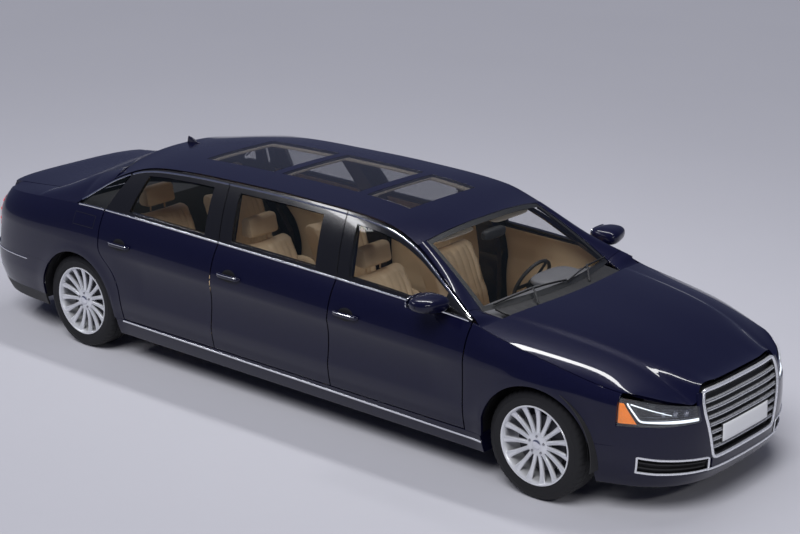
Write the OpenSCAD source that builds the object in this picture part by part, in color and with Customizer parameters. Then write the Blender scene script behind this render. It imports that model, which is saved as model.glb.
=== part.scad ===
// Six-door stretch limousine, millimetres.
// +X points to the front, +Y to the left, +Z up. The origin lies on the ground, at the middle of the car's length.

/* [Overall] */
// Distance between the front and rear axles
wheelbase = 4220; // [4000:10:4500]
// Front axle to the tip of the nose
front_overhang = 930; // [900:5:960]
// Rear axle to the tip of the tail
rear_overhang = 1215; // [1180:5:1250]
// Width of the body across the widest line
body_w = 1949; // [1900:1:2000]
// Height of the roof's crown above the ground
roof_h = 1500; // [1480:1:1530]

/* [Panels] */
// Gap between a moving panel and its neighbours
shut_gap = 7; // [6:0.5:10]
// Thickness of a single outer skin
skin_t = 6; // [4:0.5:8]
// Thickness of a whole door below the belt line
door_t = 85; // [75:1:95]
// Thickness of a door's window frame
frame_t = 40; // [34:1:46]
// Thickness of the roof with its lining
roof_t = 35; // [30:1:40]
// Thickness of the window glass
glass_t = 6; // [4:0.5:8]
// Thickness of the hood and boot lid with their stiffeners
lid_t = 22; // [18:1:26]

/* [Doors] */
// Length of the front door at the belt line
front_door_l = 1145; // [1100:5:1180]
// Length of the centre door
centre_door_l = 1105; // [1060:5:1140]
// Widest opening of a door, in degrees
door_open = 65; // [50:1:68]
// Height of the door's bottom edge
door_bottom = 330; // [325:1:345]
// Distance of a door hinge axis behind the door's front edge
hinge_back = 80; // [76:1:90]
// Radius of a hinge pin
hinge_pin_r = 4; // [3:0.5:5]

/* [Wheels] */
// Distance between the middles of the left and right tyres
track = 1624; // [1610:2:1640]
// Outer diameter of a tyre
tyre_d = 712; // [700:1:724]
// Width of a tyre
tyre_w = 250; // [240:1:256]
// Diameter of the wheel rim's edge
rim_d = 518; // [508:1:526]
// Number of spokes in a wheel
spokes = 15; // [12:1:18]
// Radius of the wheel arch openings
arch_r = 392; // [386:1:400]

/* [Cabin] */
// Width of a seat
seat_w = 560; // [520:5:590]
// Diameter of the steering wheel
steering_wheel_d = 375; // [360:5:390]

/* [Hidden] */
$fn = 48;

paint = [0.03, 0.03, 0.09];
chrome = [0.8, 0.8, 0.82];
dark = [0.06, 0.06, 0.07];
leather = [0.78, 0.65, 0.46];
clear = [0.6, 0.68, 0.7, 0.4];
metal = [0.55, 0.56, 0.58];

// Stations along the length
length_all = wheelbase + front_overhang + rear_overhang;
nose_x = length_all / 2;
tail_x = -length_all / 2;
xf = nose_x - front_overhang;
xr = tail_x + rear_overhang;
half_w = body_w / 2;
wheel_z = tyre_d / 2;
wheel_y = track / 2;

// Smooth curve through a table of [position, value]: cubic pieces with slopes taken from the neighbours
function piece(x, t, i = 0) = i >= len(t) - 2 || x < t[i + 1][0] ? i : piece(x, t, i + 1);
function slope(t, i) =
  let (a = max(i - 1, 0), b = min(i + 1, len(t) - 1)) (t[b][1] - t[a][1]) / (t[b][0] - t[a][0]);
function curve(x, t) =
  let (
    i = piece(x, t), h = t[i + 1][0] - t[i][0], s = min(max((x - t[i][0]) / h, 0), 1), s2 = s * s, s3 = s2 * s
  )
  t[i][1] * (2 * s3 - 3 * s2 + 1) + slope(t, i) * h * (s3 - 2 * s2 + s)
  + t[i + 1][1] * (3 * s2 - 2 * s3) + slope(t, i + 1) * h * (s3 - s2);
function mix(a, b, t) = a + (b - a) * t;
function flip_y(p) = [p[0], -p[1], p[2]];

// Height of the belt and shoulder line along the length: [x, z]
shoulder_z = [
  [tail_x, 1000], [xr - 830, 1040], [xr - 330, 1078], [xr + 80, 1098], [xr + 1470, 1080], [xf - 1650, 1058],
  [xf - 552, 1024], [xf - 450, 992], [xf - 200, 944], [xf + 150, 880], [xf + 530, 795], [nose_x, 760]
];
// Height of the side's widest line, the upper crease: [x, z]
crease_z = [
  [tail_x, 850], [xr - 500, 838], [xr + 470, 820], [xr + 1970, 802], [xf - 552, 779], [xf - 50, 780],
  [xf + 250, 766], [xf + 550, 722], [nose_x, 705]
];
// How far the shoulder line lies inside the widest line: [x, inset]
shoulder_in = [
  [tail_x, 110], [xr - 430, 105], [xr + 70, 98], [xf - 552, 98], [xf - 250, 85], [xf + 530, 45], [nose_x, 30]
];
// Height of the lower crease, and how deep the side is hollowed between the creases
low_crease_z = 495;
hollow = 16;
sill_bottom = 190;
// Gap left between fixed pieces that sit against each other
seat_fit = 0.4;
// The plan's outline: straight sides up to corner_x from the middle, then a superellipse to nose and tail
corner_front = xf - 750;
corner_rear = xr + 470;
power_front = 3.5;
power_rear = 6;
// Setback of the nose and of the tail by height: [z, setback]
nose_back = [[150, 70], [250, 12], [400, 0], [600, 8], [760, 45], [830, 75]];
tail_back = [[200, 95], [330, 30], [520, 0], [650, 8], [780, 45], [950, 75], [1060, 105]];

function nose_at(z) = nose_x - curve(z, nose_back);
function tail_at(z) = tail_x + curve(z, tail_back);
function plan(x, z) =
  x > corner_front
    ? pow(1 - pow(min((x - corner_front) / (nose_at(z) - corner_front), 1), power_front), 1 / power_front)
  : x < corner_rear
    ? pow(1 - pow(min((x - corner_rear) / (tail_at(z) - corner_rear), 1), power_rear), 1 / power_rear)
  : 1;
// The hollow between the creases fades out at the wheel arches
function hollow_at(x) = hollow * min(max((xf - 500 - x) / 300, 0), 1) * min(max((x - xr - 420) / 300, 0), 1);
function inset(x, z) =
  let (zt = curve(x, crease_z), zu = curve(x, shoulder_z))
  z >= zt
    ? let (s = min((z - zt) / (zu - zt), 1.2)) curve(x, shoulder_in) * (0.2 * s + 0.8 * pow(s, 2.2))
  : z >= low_crease_z
    ? let (t = (zt - z) / (zt - low_crease_z)) hollow_at(x) * sin(180 * pow(t, 0.8)) + 4 * t
  : 4 + 71 * pow(max(low_crease_z - z, 0) / (low_crease_z - sill_bottom), 1.6);
// The wheel arches stand proud of the side
arch_flare = 10;
flare_w = 60;
function flare(x, z) =
  let (xa = x > 0 ? xf : xr, r = norm([x - xa, z - wheel_z])) arch_flare * exp(-pow((r - arch_r) / flare_w, 2));
// Outer face of the body side, left half
function side_y(x, z) = (half_w - inset(x, z)) * plan(x, z) + flare(x, z);
function side(x, z, t = 0) = [x, side_y(x, z) - t, z];

// The roof edge above the side windows: [x, z] and [x, y]
rail_z = [
  [xr - 50, 1106], [xr + 37, roof_h - 335], [xr + 250, roof_h - 190], [xr + 500, roof_h - 98],
  [xr + 900, roof_h - 56], [xr + 1370, roof_h - 42], [xr + 2070, roof_h - 38], [xf - 1450, roof_h - 72],
  [xf - 1157, roof_h - 165], [xf - 800, roof_h - 354], [xf - 552, 1036]
];
rail_y = [
  [xr - 50, half_w - 116], [xr + 37, half_w - 149], [xr + 250, half_w - 250], [xr + 500, half_w - 314],
  [xr + 900, half_w - 327], [xr + 2070, half_w - 330], [xf - 1450, half_w - 327], [xf - 1157, half_w - 307],
  [xf - 800, half_w - 207], [xf - 552, half_w - 109]
];
// How far a window post leans along the length between belt and roof edge: [x at the belt, lean]
post_lean = [
  [xr - 50, 0], [xr + 250, 120], [xr + 700, 0], [xr + 1440, -100], [xf - 1675, -100], [xf - 1100, -60],
  [xf - 552, 0]
];
glass_bulge = 18;
// Outer face of the side windows and their frames; s runs from the belt (0) to the roof edge (1)
function upper(xb, s, t = 0) =
  let (
    xt = xb + curve(xb, post_lean), zb = curve(xb, shoulder_z), yb = side_y(xb, zb)
  )
  [
    mix(xb, xt, s),
    mix(yb, curve(xt, rail_y), s) + glass_bulge * 4 * s * (1 - s) - t,
    mix(zb, curve(xt, rail_z), s)
  ];

// The roof: its centreline, and how the sections fall to the edge
roof_front = xf - 1157;
roof_rear = xr + 215;
roof_mid = [
  [roof_rear - 60, roof_h - 74], [xr + 500, roof_h - 38], [xr + 1000, roof_h - 13], [xr + 1700, roof_h],
  [xf - 1850, roof_h - 8], [xf - 1450, roof_h - 42], [roof_front + 60, roof_h - 98]
];
roof_power = 2.6;
edge_in = 6;
edge_up = 8;
// The edges of roof and pillars slant in by this much under the skin, which leaves room for the door frames
edge_slant = 64;
function roof_z(x, y) =
  let (zm = curve(x, roof_mid), ye = curve(x, rail_y), ze = curve(x, rail_z) + edge_up)
  zm - (zm - ze) * pow(min(abs(y) / ye, 1.05), roof_power);

// Closed shell between two grids of points; a cell is left open where keep gives false
module shell(outer, inner, keep = function(r, c) true) {
  rows = len(outer);
  cols = len(outer[0]);
  n = rows * cols;
  function on(r, c) = r >= 0 && c >= 0 && r < rows - 1 && c < cols - 1 && keep(r, c);
  function quad(a, b, c, d) = [[a, b, c], [a, c, d]];
  function wall(a, b) = quad(a, b, b + n, a + n);
  faces = [
    for (r = [0:rows - 2], c = [0:cols - 2])
      if (on(r, c))
        let (a = r * cols + c, b = a + 1, d = a + cols, e = d + 1)
        each concat(
          quad(a, b, e, d), quad(n + a, n + d, n + e, n + b),
          on(r - 1, c) ? [] : wall(b, a), on(r + 1, c) ? [] : wall(d, e),
          on(r, c - 1) ? [] : wall(a, d), on(r, c + 1) ? [] : wall(e, b)
        )
  ];
  points = concat([for (row = outer) each row], [for (row = inner) each row]);
  volumes = [for (f = faces) points[f[0]] * cross(points[f[1]], points[f[2]])];
  inside_out = volumes * [for (v = volumes) 1] > 0;
  polyhedron(points, inside_out ? [for (f = faces) [f[0], f[2], f[1]]] : faces);
}

module both_sides() {
  children();
  mirror([0, 1, 0]) children();
}
module on_side(left) {
  if (left) children();
  else mirror([0, 1, 0]) children();
}

// Doors: [name, front edge, rear edge, front post, rear post] with the edges as functions of height
cut_front = xf - 532;
cut_centre = cut_front - front_door_l;
cut_rear = cut_centre - centre_door_l;
// Rear edge of the rear door: [z, distance ahead of the rear axle]
rear_edge = [[300, 490], [400, 487], [550, 467], [660, 420], [700, 385], [800, 280], [900, 262], [1098, 250]];
door_front = [cut_front, cut_centre, cut_rear];
// Width of the window posts at the front and the rear of each door
door_posts = [[240, 190], [130, 195], [75, 265]];
function door_rear(i, z) = i == 2 ? xr + curve(z, rear_edge) + shut_gap / 2 + 3 : door_front[i + 1] + shut_gap / 2;
flap_l = hinge_back + 34;
// Height of the side at row v: 0 bottom, 0.4 lower crease, 1 upper crease, 2 belt
function side_row(x, v, z0) =
  let (zt = curve(x, crease_z))
  v <= 0.4 ? mix(z0, max(low_crease_z, mix(z0, zt, 0.3)), v / 0.4)
  : v <= 1 ? mix(max(low_crease_z, mix(z0, zt, 0.3)), zt, (v - 0.4) / 0.6)
  : mix(zt, curve(x, shoulder_z), v - 1);
door_rows = [0, 0.2, 0.4, 0.6, 0.8, 1, 1.35, 1.7, 2, 2.08, 2.35, 2.6, 2.86, 3];
window_low = 8;
window_high = 11;
function door_thick(v) = v <= 1.4 ? door_t : v <= 2 ? mix(door_t, frame_t + 8, (v - 1.4) / 0.6) : frame_t;
// Distances of a door's columns behind its front edge, for a door of length l
function door_cols(i, l) =
  let (a = door_posts[i][0], b = l - door_posts[i][1], a0 = max(a, flap_l + 30))
  [0, flap_l - 10, flap_l, a0, mix(a0, b, 0.25), mix(a0, b, 0.5), mix(a0, b, 0.75), b, l];
glass_from = 3;
glass_to = 7;
edge_bevel = 24;
// A window frame's inner top edge is lower than the outer one, as a share of the window's height
frame_drop = 24;
function frame_slope(x) =
  min(0.12, frame_drop / max(curve(x + curve(x, post_lean), rail_z) - curve(x, shoulder_z), 60));
function door_x(i, c, v) =
  let (
    f = door_front[i] - shut_gap / 2, zv = v >= 2 ? 1098 : side_row(i == 2 ? xr + 300 : f, min(v, 2), door_bottom),
    l = f - door_rear(i, zv)
  )
  f - door_cols(i, l)[c];
function door_point(i, c, v, t, bevel) =
  let (
    x = door_x(i, c, v) - (c == 0 ? bevel / 3 : 0) + (c == 8 ? bevel : 0),
    thin = c <= 1 && v < 2 ? min(t, skin_t) : t
  )
  v <= 2 ? side(x, side_row(x, v, door_bottom), thin) : upper(x, v - 2 - (v == 3 && t > 0 ? frame_slope(x) : 0), thin);
module door_panel(i) {
  outer = [for (v = door_rows) [for (c = [0:8]) door_point(i, c, v, 0, 0)]];
  inner = [for (v = door_rows) [for (c = [0:8]) door_point(i, c, v, door_thick(v), edge_bevel)]];
  shell(outer, inner, function(r, c) !(r >= window_low + 1 && r < window_high + 1 && c >= glass_from && c < glass_to));
}

// Glass that fills a door's window, held clear of the frame

module door_glass(i) {
  function at(c, v, t) =
    let (x = door_x(i, c, 3) + (c == glass_from ? -seat_fit : c == glass_to ? seat_fit : 0))
    upper(x, v - 2, t);
  low = door_rows[window_low + 1] + 0.002;
  high = door_rows[window_high + 1] - 0.002;
  rows = [for (k = [0:3]) mix(low, high, k / 3)];
  sink = 12;
  shell(
    [for (v = rows) [for (c = [glass_from:glass_to]) at(c, v, sink)]],
    [for (v = rows) [for (c = [glass_from:glass_to]) at(c, v, sink + glass_t)]]
  );
}

// Hinges: the pin stands on the body side, the barrel on the door
hinge_y = half_w - 29.5;
hinge_zs = [450, 780];
barrel_h = 40;
lug_h = 8;
pin_fit = 0.3;
frame_out_y = half_w - 129.5;
function hinge_x(i) = door_front[i] - shut_gap / 2 - hinge_back;
module door_leaves(i) {
  for (z = hinge_zs) translate([hinge_x(i), hinge_y, z - barrel_h / 2])
    difference() {
      union() {
        cylinder(h = barrel_h, r = hinge_pin_r + 5);
        translate([hinge_back - flap_l + 9.4, -6, 0]) cube([flap_l - hinge_back - 9.4, 12, barrel_h]);
      }
      translate([0, 0, -1]) cylinder(h = barrel_h + 2, r = hinge_pin_r + pin_fit);
    }
}
module door_pins(i) {
  for (z = hinge_zs) translate([hinge_x(i), 0, z]) {
    for (s = [-1, 1]) translate([0, 0, s * (barrel_h / 2 + 0.5 + lug_h / 2)]) {
      translate([0, hinge_y, -lug_h / 2]) cylinder(h = lug_h, r = hinge_pin_r + 2);
      translate([-6, frame_out_y + 0.3, -lug_h / 2]) cube([12, hinge_y - frame_out_y - 0.3, lug_h]);
    }
    translate([0, hinge_y, -barrel_h / 2 - 0.5 - lug_h]) cylinder(h = barrel_h + 1 + 2 * lug_h, r = hinge_pin_r);
    translate([-12, frame_out_y + 0.3, -barrel_h / 2 - 12])
      cube([24, 6, barrel_h + 24]);
  }
}
// Handles: distance of the middle ahead of the door's rear edge, and height
handles = [[160, 870], [180, 900], [230, 900]];
handle_l = 220;
module door_handle(i) {
  z = handles[i][1];
  x = door_rear(i, z) + handles[i][0];
  xs = [for (k = [2:-1:-2]) x + k * handle_l / 4];
  shell(
    [for (h = [-12, 12]) [for (e = xs) side(e, z + h, -26)]],
    [for (h = [-12, 12]) [for (e = xs) side(e, z + h, -seat_fit)]]
  );
}
module door(i) {
  door_panel(i);
  door_leaves(i);
  door_handle(i);
}
module hinge_pins() {
  color(metal) {
    both_sides() for (i = [0:2]) door_pins(i);
    hood_pins();
    lid_pins();
  }
}

// Sills between the wheel arches
sill_top = door_bottom - shut_gap - 1;
sill_in_y = half_w - 234.5;
module sills() {
  xs = [for (k = [0:10]) mix(xf - arch_r - 14, xr + arch_r + 14, k / 10)];
  zs = [sill_bottom, 255, sill_top];
  color(paint) both_sides()
    shell([for (z = zs) [for (x = xs) side(x, z)]], [for (z = zs) [for (x = xs) [x, sill_in_y, z]]]);
}

// Windscreen: bottom and top edges, c runs from the left (1) to the right (-1)
screen_low_x = xf - 462;
screen_low_back = 140;
screen_low_w = 690;
screen_top_w = 590;
screen_bulge = 12;
function header_x(c) = roof_front + 36 * (1 - c * c);
function screen_edge(c, t) =
  let (
    low = [screen_low_x - screen_low_back * c * c, screen_low_w * c, 1046 - 18 * c * c],
    hx = header_x(screen_top_w * c / (curve(roof_front, rail_y) - edge_in)),
    top = [hx + 4, screen_top_w * c, roof_z(hx, screen_top_w * c) - 1]
  )
  mix(low, top, t);
function screen(c, t, d = 0) = screen_edge(c, t) + (screen_bulge * 4 * t * (1 - t) - d) * [0.5, 0, 0.866];
screen_rows = [0, 0.125, 0.25, 0.375, 0.5, 0.625, 0.75, 0.875, 1];
screen_cols = [1, 0.8, 0.6, 0.4, 0.2, 0, -0.2, -0.4, -0.6, -0.8, -1];
module windscreen() {
  ts = screen_rows;
  color(clear)
    shell([for (t = ts) [for (c = screen_cols) screen(c, t)]], [for (t = ts) [for (c = screen_cols) screen(c, t, glass_t)]]);
}

// Cowl between the hood and the windscreen
cowl_half = half_w - 374.5;
module cowl() {
  ys = [for (k = [0:8]) mix(cowl_half, -cowl_half, k / 8)];
  function at(y, u, d) =
    let (
      xa = hood_rear_x - hood_rear_back * pow(y / shut_y(hood_rear_x - hood_rear_back), 2) - shut_gap - 3,
      e = screen_edge(y / screen_low_w, 0)
    )
    [mix(xa, e[0] - glass_t / 2, u), y, e[2] - glass_t * 0.9 - seat_fit - mix(16, 0, u) - d];
  color(dark)
    shell([for (u = [0, 1]) [for (y = ys) at(y, u, 0)]], [for (u = [0, 1]) [for (y = ys) at(y, u, 12)]]);
}

// Windscreen pillars between the glass and the front doors' frames
pillar_t = 30;
function pillar(t, u, d = 0) =
  let (
    xo = mix(xf - 600, roof_front + 6.5, t),
    o = [xo, curve(xo, rail_y) - edge_in - 4, curve(xo, rail_z) + edge_up + 3],
    i = screen(1, t) + [0, 2 * seat_fit, 0], p = mix(o, i, u)
  )
  [p[0], p[1] - mix(1.5, 0.8, t) * edge_slant * (1 - u) * d / pillar_t, p[2] + 10 * 4 * u * (1 - u) - d];
function above(x, y) =
  x > roof_front
    ? let (
        t = min(max((xf - 600 - x) / (xf - 600 - roof_front), 0), 1), o = pillar(t, 0), i = pillar(t, 1),
        u = min(max((o[1] - y) / (o[1] - i[1]), 0), 1)
      )
      min(pillar(t, u)[2], pillar(t, 1)[2]) - pillar_t - 14
  : roof_z(x, y) - roof_t - 14;

// Inner frame of the body side: hinge pillar, two centre pillars, rear pillar and the roof rail, one piece
frame_depth = 50;
frame_off = 60;
function frame_rear(z) = xr + curve(z, rear_edge);
frame_cols = [
  cut_front - 12, cut_front - 165, cut_front - 330, cut_front - 520, cut_front - 700, cut_front - 900,
  cut_centre + 42, cut_centre - 128, mix(cut_centre, cut_rear, 0.4), mix(cut_centre, cut_rear, 0.7),
  cut_rear + 42, cut_rear - 128, cut_rear - 480, cut_rear - 820, 0, 0
];
// Columns that run down to the sill as pillars: [first, last]
frame_posts = [[0, 1], [6, 7], [10, 11], [14, 15]];
function frame_x(c, z) = c == 14 ? frame_rear(z) + 45 : c == 15 ? frame_rear(z) - 45 : frame_cols[c];
function frame_point(c, r, d) =
  let (
    xb = frame_x(c, 1098), xt = xb + curve(xb, post_lean), yt = curve(xt, rail_y) - frame_off - d,
    z4 = above(xt, yt) - (c > 12 ? 14 : 0.6), z3 = min(upper(xb, 0.82)[2], z4 - 45), z2 = min(curve(xb, shoulder_z), z3 - 40),
    yb = upper(xb, 0)[1] - frame_off - 18 - d
  )
  r == 0 ? [frame_x(c, sill_top), frame_out_y - d, sill_top + seat_fit]
  : r == 1 ? [frame_x(c, 600), frame_out_y - d, 600]
  : r == 2 ? [frame_x(c, 830), frame_out_y - d, min(830, z2 - 40)]
  : r == 3 ? [xb, yb, z2]
  : r == 4 ? [mix(xb, xt, 0.82), mix(yb, yt, 0.82) + glass_bulge * 0.6, z3]
  : [xt, yt, z4];
function is_post(c) = len([for (p = frame_posts) if (c >= p[0] && c < p[1]) 1]) > 0;
module body_side_frames() {
  color(paint) both_sides() {
    shell(
      [for (r = [0:5]) [for (c = [0:15]) frame_point(c, r, 0)]],
      [for (r = [0:5]) [for (c = [0:15]) frame_point(c, r, frame_depth)]],
      function(r, c) r == 4 || is_post(c)
    );
    shell(
      [for (t = screen_rows) [for (u = [0, 0.5, 1]) pillar(t, u)]],
      [for (t = screen_rows) [for (u = [0, 0.5, 1]) pillar(t, u, pillar_t)]]
    );
  }
}

// Front fenders: lower edge over the wheel arch
fender_front = xf + 530;
fender_low = 475;
arch_steps = [166, 150, 132, 114, 96, 78, 60, 42, 28, asin((fender_low - wheel_z) / arch_r)];
fender_cols = concat(
  [[cut_front + shut_gap / 2, sill_top + seat_fit], [xf - arch_r - 3, sill_top + seat_fit]],
  [for (a = arch_steps) [xf + arch_r * cos(a), wheel_z + arch_r * sin(a)]],
  [[mix(xf + arch_r, fender_front, 0.5), fender_low], [fender_front, fender_low]]
);
function wing_z(x, z0, v) =
  let (zt = curve(x, crease_z)) v <= 1 ? mix(z0, zt, v) : mix(zt, curve(x, shoulder_z), v - 1);
wing_rows = [0, 0.18, 0.346, 0.564, 0.782, 1, 1.35, 1.7, 2];
module front_fenders() {
  function at(c, v, t) = side(c[0], wing_z(c[0], c[1], v), t);
  cols = [for (k = [len(fender_cols) - 1:-1:0]) fender_cols[k]];
  color(paint) both_sides()
    shell([for (v = wing_rows) [for (c = cols) at(c, v, 0)]], [for (v = wing_rows) [for (c = cols) at(c, v, skin_t)]]);
}

// Rear quarters: the side behind the rear door, and the pillar and deck beside the rear window and boot lid
quarter_rear = tail_x + 225;
quarter_low = 607;
lamp_low = 752;
rear_arch = [25, 42, 60, 78, 96, 114, 128, 180 - asin((quarter_low - wheel_z) / arch_r)];
quarter_cols = concat(
  [[xr + rear_edge[0][1] - shut_gap / 2, sill_top + seat_fit], [xr + arch_r + 3, sill_top + seat_fit]],
  [for (a = rear_arch) [xr + arch_r * cos(a), wheel_z + arch_r * sin(a)]],
  [for (k = [1:3]) [mix(xr - arch_r + 40, quarter_rear, k / 3), quarter_low]]
);
function quarter_point(c, v, t) =
  let (
    w = (quarter_cols[0][0] - c[0]) / (quarter_cols[0][0] - quarter_rear), z = wing_z(c[0], c[1], v),
    x = c[0] + (1 - w) * (curve(z, rear_edge) - curve(c[1], rear_edge)), z2 = wing_z(x, c[1], v)
  )
  side(x, z2, t);
rear_low_x = xr - 480;
lid_half = half_w - 334.5;
rear_low_w = lid_half + shut_gap - seat_fit;
rear_top_w = 575;
function roof_back_x(c) = roof_rear - 30 * (1 - c * c);
// Boot deck height: a centreline that falls to the tail, and sections that fall to the shoulder
deck_mid = [[tail_x + 60, 1050], [tail_x + 130, 1062], [xr - 760, 1084], [xr - 520, 1106], [xr - 400, 1120]];
function deck_z(x, y) =
  let (zm = curve(x, deck_mid), zs = curve(x, shoulder_z)) zm - (zm - zs) * pow(abs(y) / (half_w - 105), 3);
function rear_edge_line(c, t) =
  let (
    bx = roof_back_x(rear_top_w * c / (curve(roof_rear, rail_y) - edge_in)),
    top = [bx - 3.6, rear_top_w * c, roof_z(bx, rear_top_w * c) - 1],
    lx = rear_low_x - 36 * (1 - c * c), low = [lx, rear_low_w * c, deck_z(lx, rear_low_w * c) + 2]
  )
  mix(top, low, t);
function rear_screen(c, t, d = 0) = rear_edge_line(c, t) + (14 * 4 * t * (1 - t) - d) * [-0.45, 0, 0.893];
// Pillar and deck: t runs 0 to 1 down the pillar and on to 2 along the deck, u from the outside to the inside
function c_pillar(t, u, d = 0) =
  let (
    xo = t <= 1 ? mix(roof_rear - 4.5, rear_low_x - 20, t) : mix(rear_low_x - 20, quarter_rear, t - 1),
    on_rail = xo > xr - 50, zs = curve(xo, shoulder_z),
    o = on_rail ? [xo, curve(xo, rail_y) - edge_in, curve(xo, rail_z) + edge_up] : [xo, side_y(xo, zs) - 0.2, zs + seat_fit],
    i = t <= 1
      ? rear_screen(1, t) + [0, 2 * seat_fit, 0] : [xo, lid_half + shut_gap, deck_z(xo, lid_half + shut_gap)],
    p = mix(o, i, u)
  )
  [
    p[0], p[1] - (on_rail ? 0.6 * edge_slant * (1 - u) * d / 20 : 0),
    p[2] + (t <= 1 ? 16 : 6) * 4 * u * (1 - u) * min(1, 2 - t) - d
  ];
c_rows = concat(screen_rows, [1.35, 1.7, 2]);
module rear_quarters() {
  color(paint) both_sides() {
    shell(
      [for (v = wing_rows) [for (c = quarter_cols) quarter_point(c, v, 0)]],
      [for (v = wing_rows) [for (c = quarter_cols) quarter_point(c, v, skin_t)]]
    );
    shell(
      [for (t = c_rows) [for (u = [0, 0.35, 0.7, 1]) c_pillar(t, u)]],
      [for (t = c_rows) [for (u = [0, 0.35, 0.7, 1]) c_pillar(t, u, 20)]]
    );
  }
}
module rear_window() {
  ts = screen_rows;
  cs = [for (k = [len(screen_cols) - 1:-1:0]) screen_cols[k]];
  color(clear)
    shell([for (t = ts) [for (c = cs) rear_screen(c, t)]], [for (t = ts) [for (c = cs) rear_screen(c, t, glass_t)]]);
}
module quarter_windows() {
  xs = [for (k = [0:4]) mix(xr + 250 - shut_gap, xr - 2, k / 4)];
  ss = [0.012, 0.5, 0.95];
  color(clear) both_sides()
    shell([for (s = ss) [for (x = xs) upper(x, s, 3)]], [for (s = ss) [for (x = xs) upper(x, s, 3 + glass_t)]]);
}

// Roof with three glass panels: [front, rear]
roof_panes = [[xf - 1492, xf - 1872], [xf - 1952, xf - 2672], [xf - 2752, xf - 3432]];
roof_cols = [1, 0.9, 0.75, 0.54, 0.27, 0, -0.27, -0.54, -0.75, -0.9, -1];
roof_rows = concat(
  [roof_front, xf - 1320],
  [for (p = roof_panes) each [p[0], mix(p[0], p[1], 0.5), p[1]]],
  [xr + 560, xr + 380, roof_rear]
);
function roof_point(x, c, d) =
  let (
    xe = x == roof_front ? header_x(c) : x == roof_rear ? roof_back_x(c) : x,
    y = c * (curve(x, rail_y) - edge_in)
  )
  [xe, y - sign(c) * (abs(c) > 0.95 ? edge_slant * d / roof_t : 0), roof_z(xe, y) - d];
pane_rows = [2, 3, 5, 6, 8, 9];
fin_x = xr + 292;
module roof_panel() {
  color(paint) {
    shell(
      [for (x = roof_rows) [for (c = roof_cols) roof_point(x, c, 0)]],
      [for (x = roof_rows) [for (c = roof_cols) roof_point(x, c, roof_t)]],
      function(r, c) !(len([for (k = pane_rows) if (k == r) 1]) > 0 && c >= 3 && c < 7)
    );
    translate([fin_x, 0, roof_z(fin_x, 0) + 0.4]) rotate([90, 0, 0])
      translate([0, 0, -9]) linear_extrude(18) polygon([[-75, 0], [75, 3], [20, 22], [-40, 52], [-72, 56]]);
  }
}
module roof_glass() {
  cs = [0.5393, 0.27, 0, -0.27, -0.5393];
  color(dark) for (p = roof_panes)
    shell(
      [for (k = [0:2]) [for (c = cs) roof_point(mix(p[0] - 3, p[1] + 3, k / 2), c, 2)]],
      [for (k = [0:2]) [for (c = cs) roof_point(mix(p[0] - 3, p[1] + 3, k / 2), c, 10)]]
    );
}

// Hood: c across, t from the rear edge to the front edge
hood_corner_x = fender_front - 2;
hood_rear_x = xf - 372;
hood_rear_back = 92;
hood_fall = [[0, 1.042], [0.25, 1.012], [0.5, 0.97], [0.75, 0.91], [0.9, 0.86], [1, 0.8]];
hood_lip = [[0, 812], [0.3, 811], [0.55, 808], [0.62, 754], [0.8, 764], [1, 797]];
function shut_y(x) = side_y(x, curve(x, shoulder_z));
function front_x(y, z, b, d = 0) =
  corner_front + (nose_at(z) - d - corner_front) * pow(1 - pow(min(abs(y) / b, 1), power_front), 1 / power_front);
function hood_point(c, t, d = 0) =
  let (
    k = abs(c), xs = mix(hood_rear_x - hood_rear_back, hood_corner_x, t), ys = shut_y(xs) - edge_in - 6,
    yf = (shut_y(hood_corner_x) - edge_in) * c, b = shut_y(hood_corner_x) / plan(hood_corner_x, 795),
    xa = hood_rear_x - hood_rear_back * c * c, xe = front_x(yf, 795, b) - 8,
    zs = curve(xs, shoulder_z) + shut_gap + 1,
    zc = 1000 * curve(t, hood_fall), zt = zc - (zc - zs) * pow(k, 3.4),
    lip = curve(k, hood_lip) + shut_gap + 1
  )
  [
    mix(xa, xe, t) + d * (t == 0 ? 0.5 : t == 1 ? -1 : 0),
    c * ys - sign(c) * d * 1.4 * (k > 0.99 ? 1 : 0.3 * k),
    mix(zt, lip, pow(t, 6) * (1 - pow(k, 8))) - d
  ];
hood_cols = [1, 0.92, 0.78, 0.62, 0.55, 0.27, 0, -0.27, -0.55, -0.62, -0.78, -0.92, -1];
hood_rows = [0, 0.14, 0.3, 0.46, 0.62, 0.76, 0.88, 0.95, 1];
hood_axis = [xf - 495, 962];
hood_hinge_y = half_w - 334.5;
hood_arm = 26;
module hood() {
  color(paint) {
    shell(
      [for (t = hood_rows) [for (k = [len(hood_cols) - 1:-1:0]) hood_point(hood_cols[k], t)]],
      [for (t = hood_rows) [for (k = [len(hood_cols) - 1:-1:0]) hood_point(hood_cols[k], t, lid_t)]]
    );
    hood_arms();
  }
}

// Points on the front and rear outlines: by a position along the side, or by a distance from the middle
function front_b(z) = half_w - inset(fender_front, z);
function front_at(y, z, d = 0) = [front_x(y, z, front_b(z), 0) - d, y, z];
function rear_b(z) = half_w - inset(quarter_rear, z);
function rear_x(y, z) =
  corner_rear + (tail_at(z) - corner_rear) * pow(1 - pow(min(abs(y) / rear_b(z), 1), power_rear), 1 / power_rear);
function rear_at(y, z, d = 0) = [rear_x(y, z) + d, y, z];

// Front bumper: columns from the middle to the wheel arch, rows from the bottom to the lamps
grille_low = 335;
grille_high = 783;
grille_half = [[grille_low, 352], [640, 428], [720, 428], [grille_high, 404]];
function grille_w(z) = lookup(z, grille_half);
lamp_in = 452;
lamp_bottom = 605;
bumper_t = 18;
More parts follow.
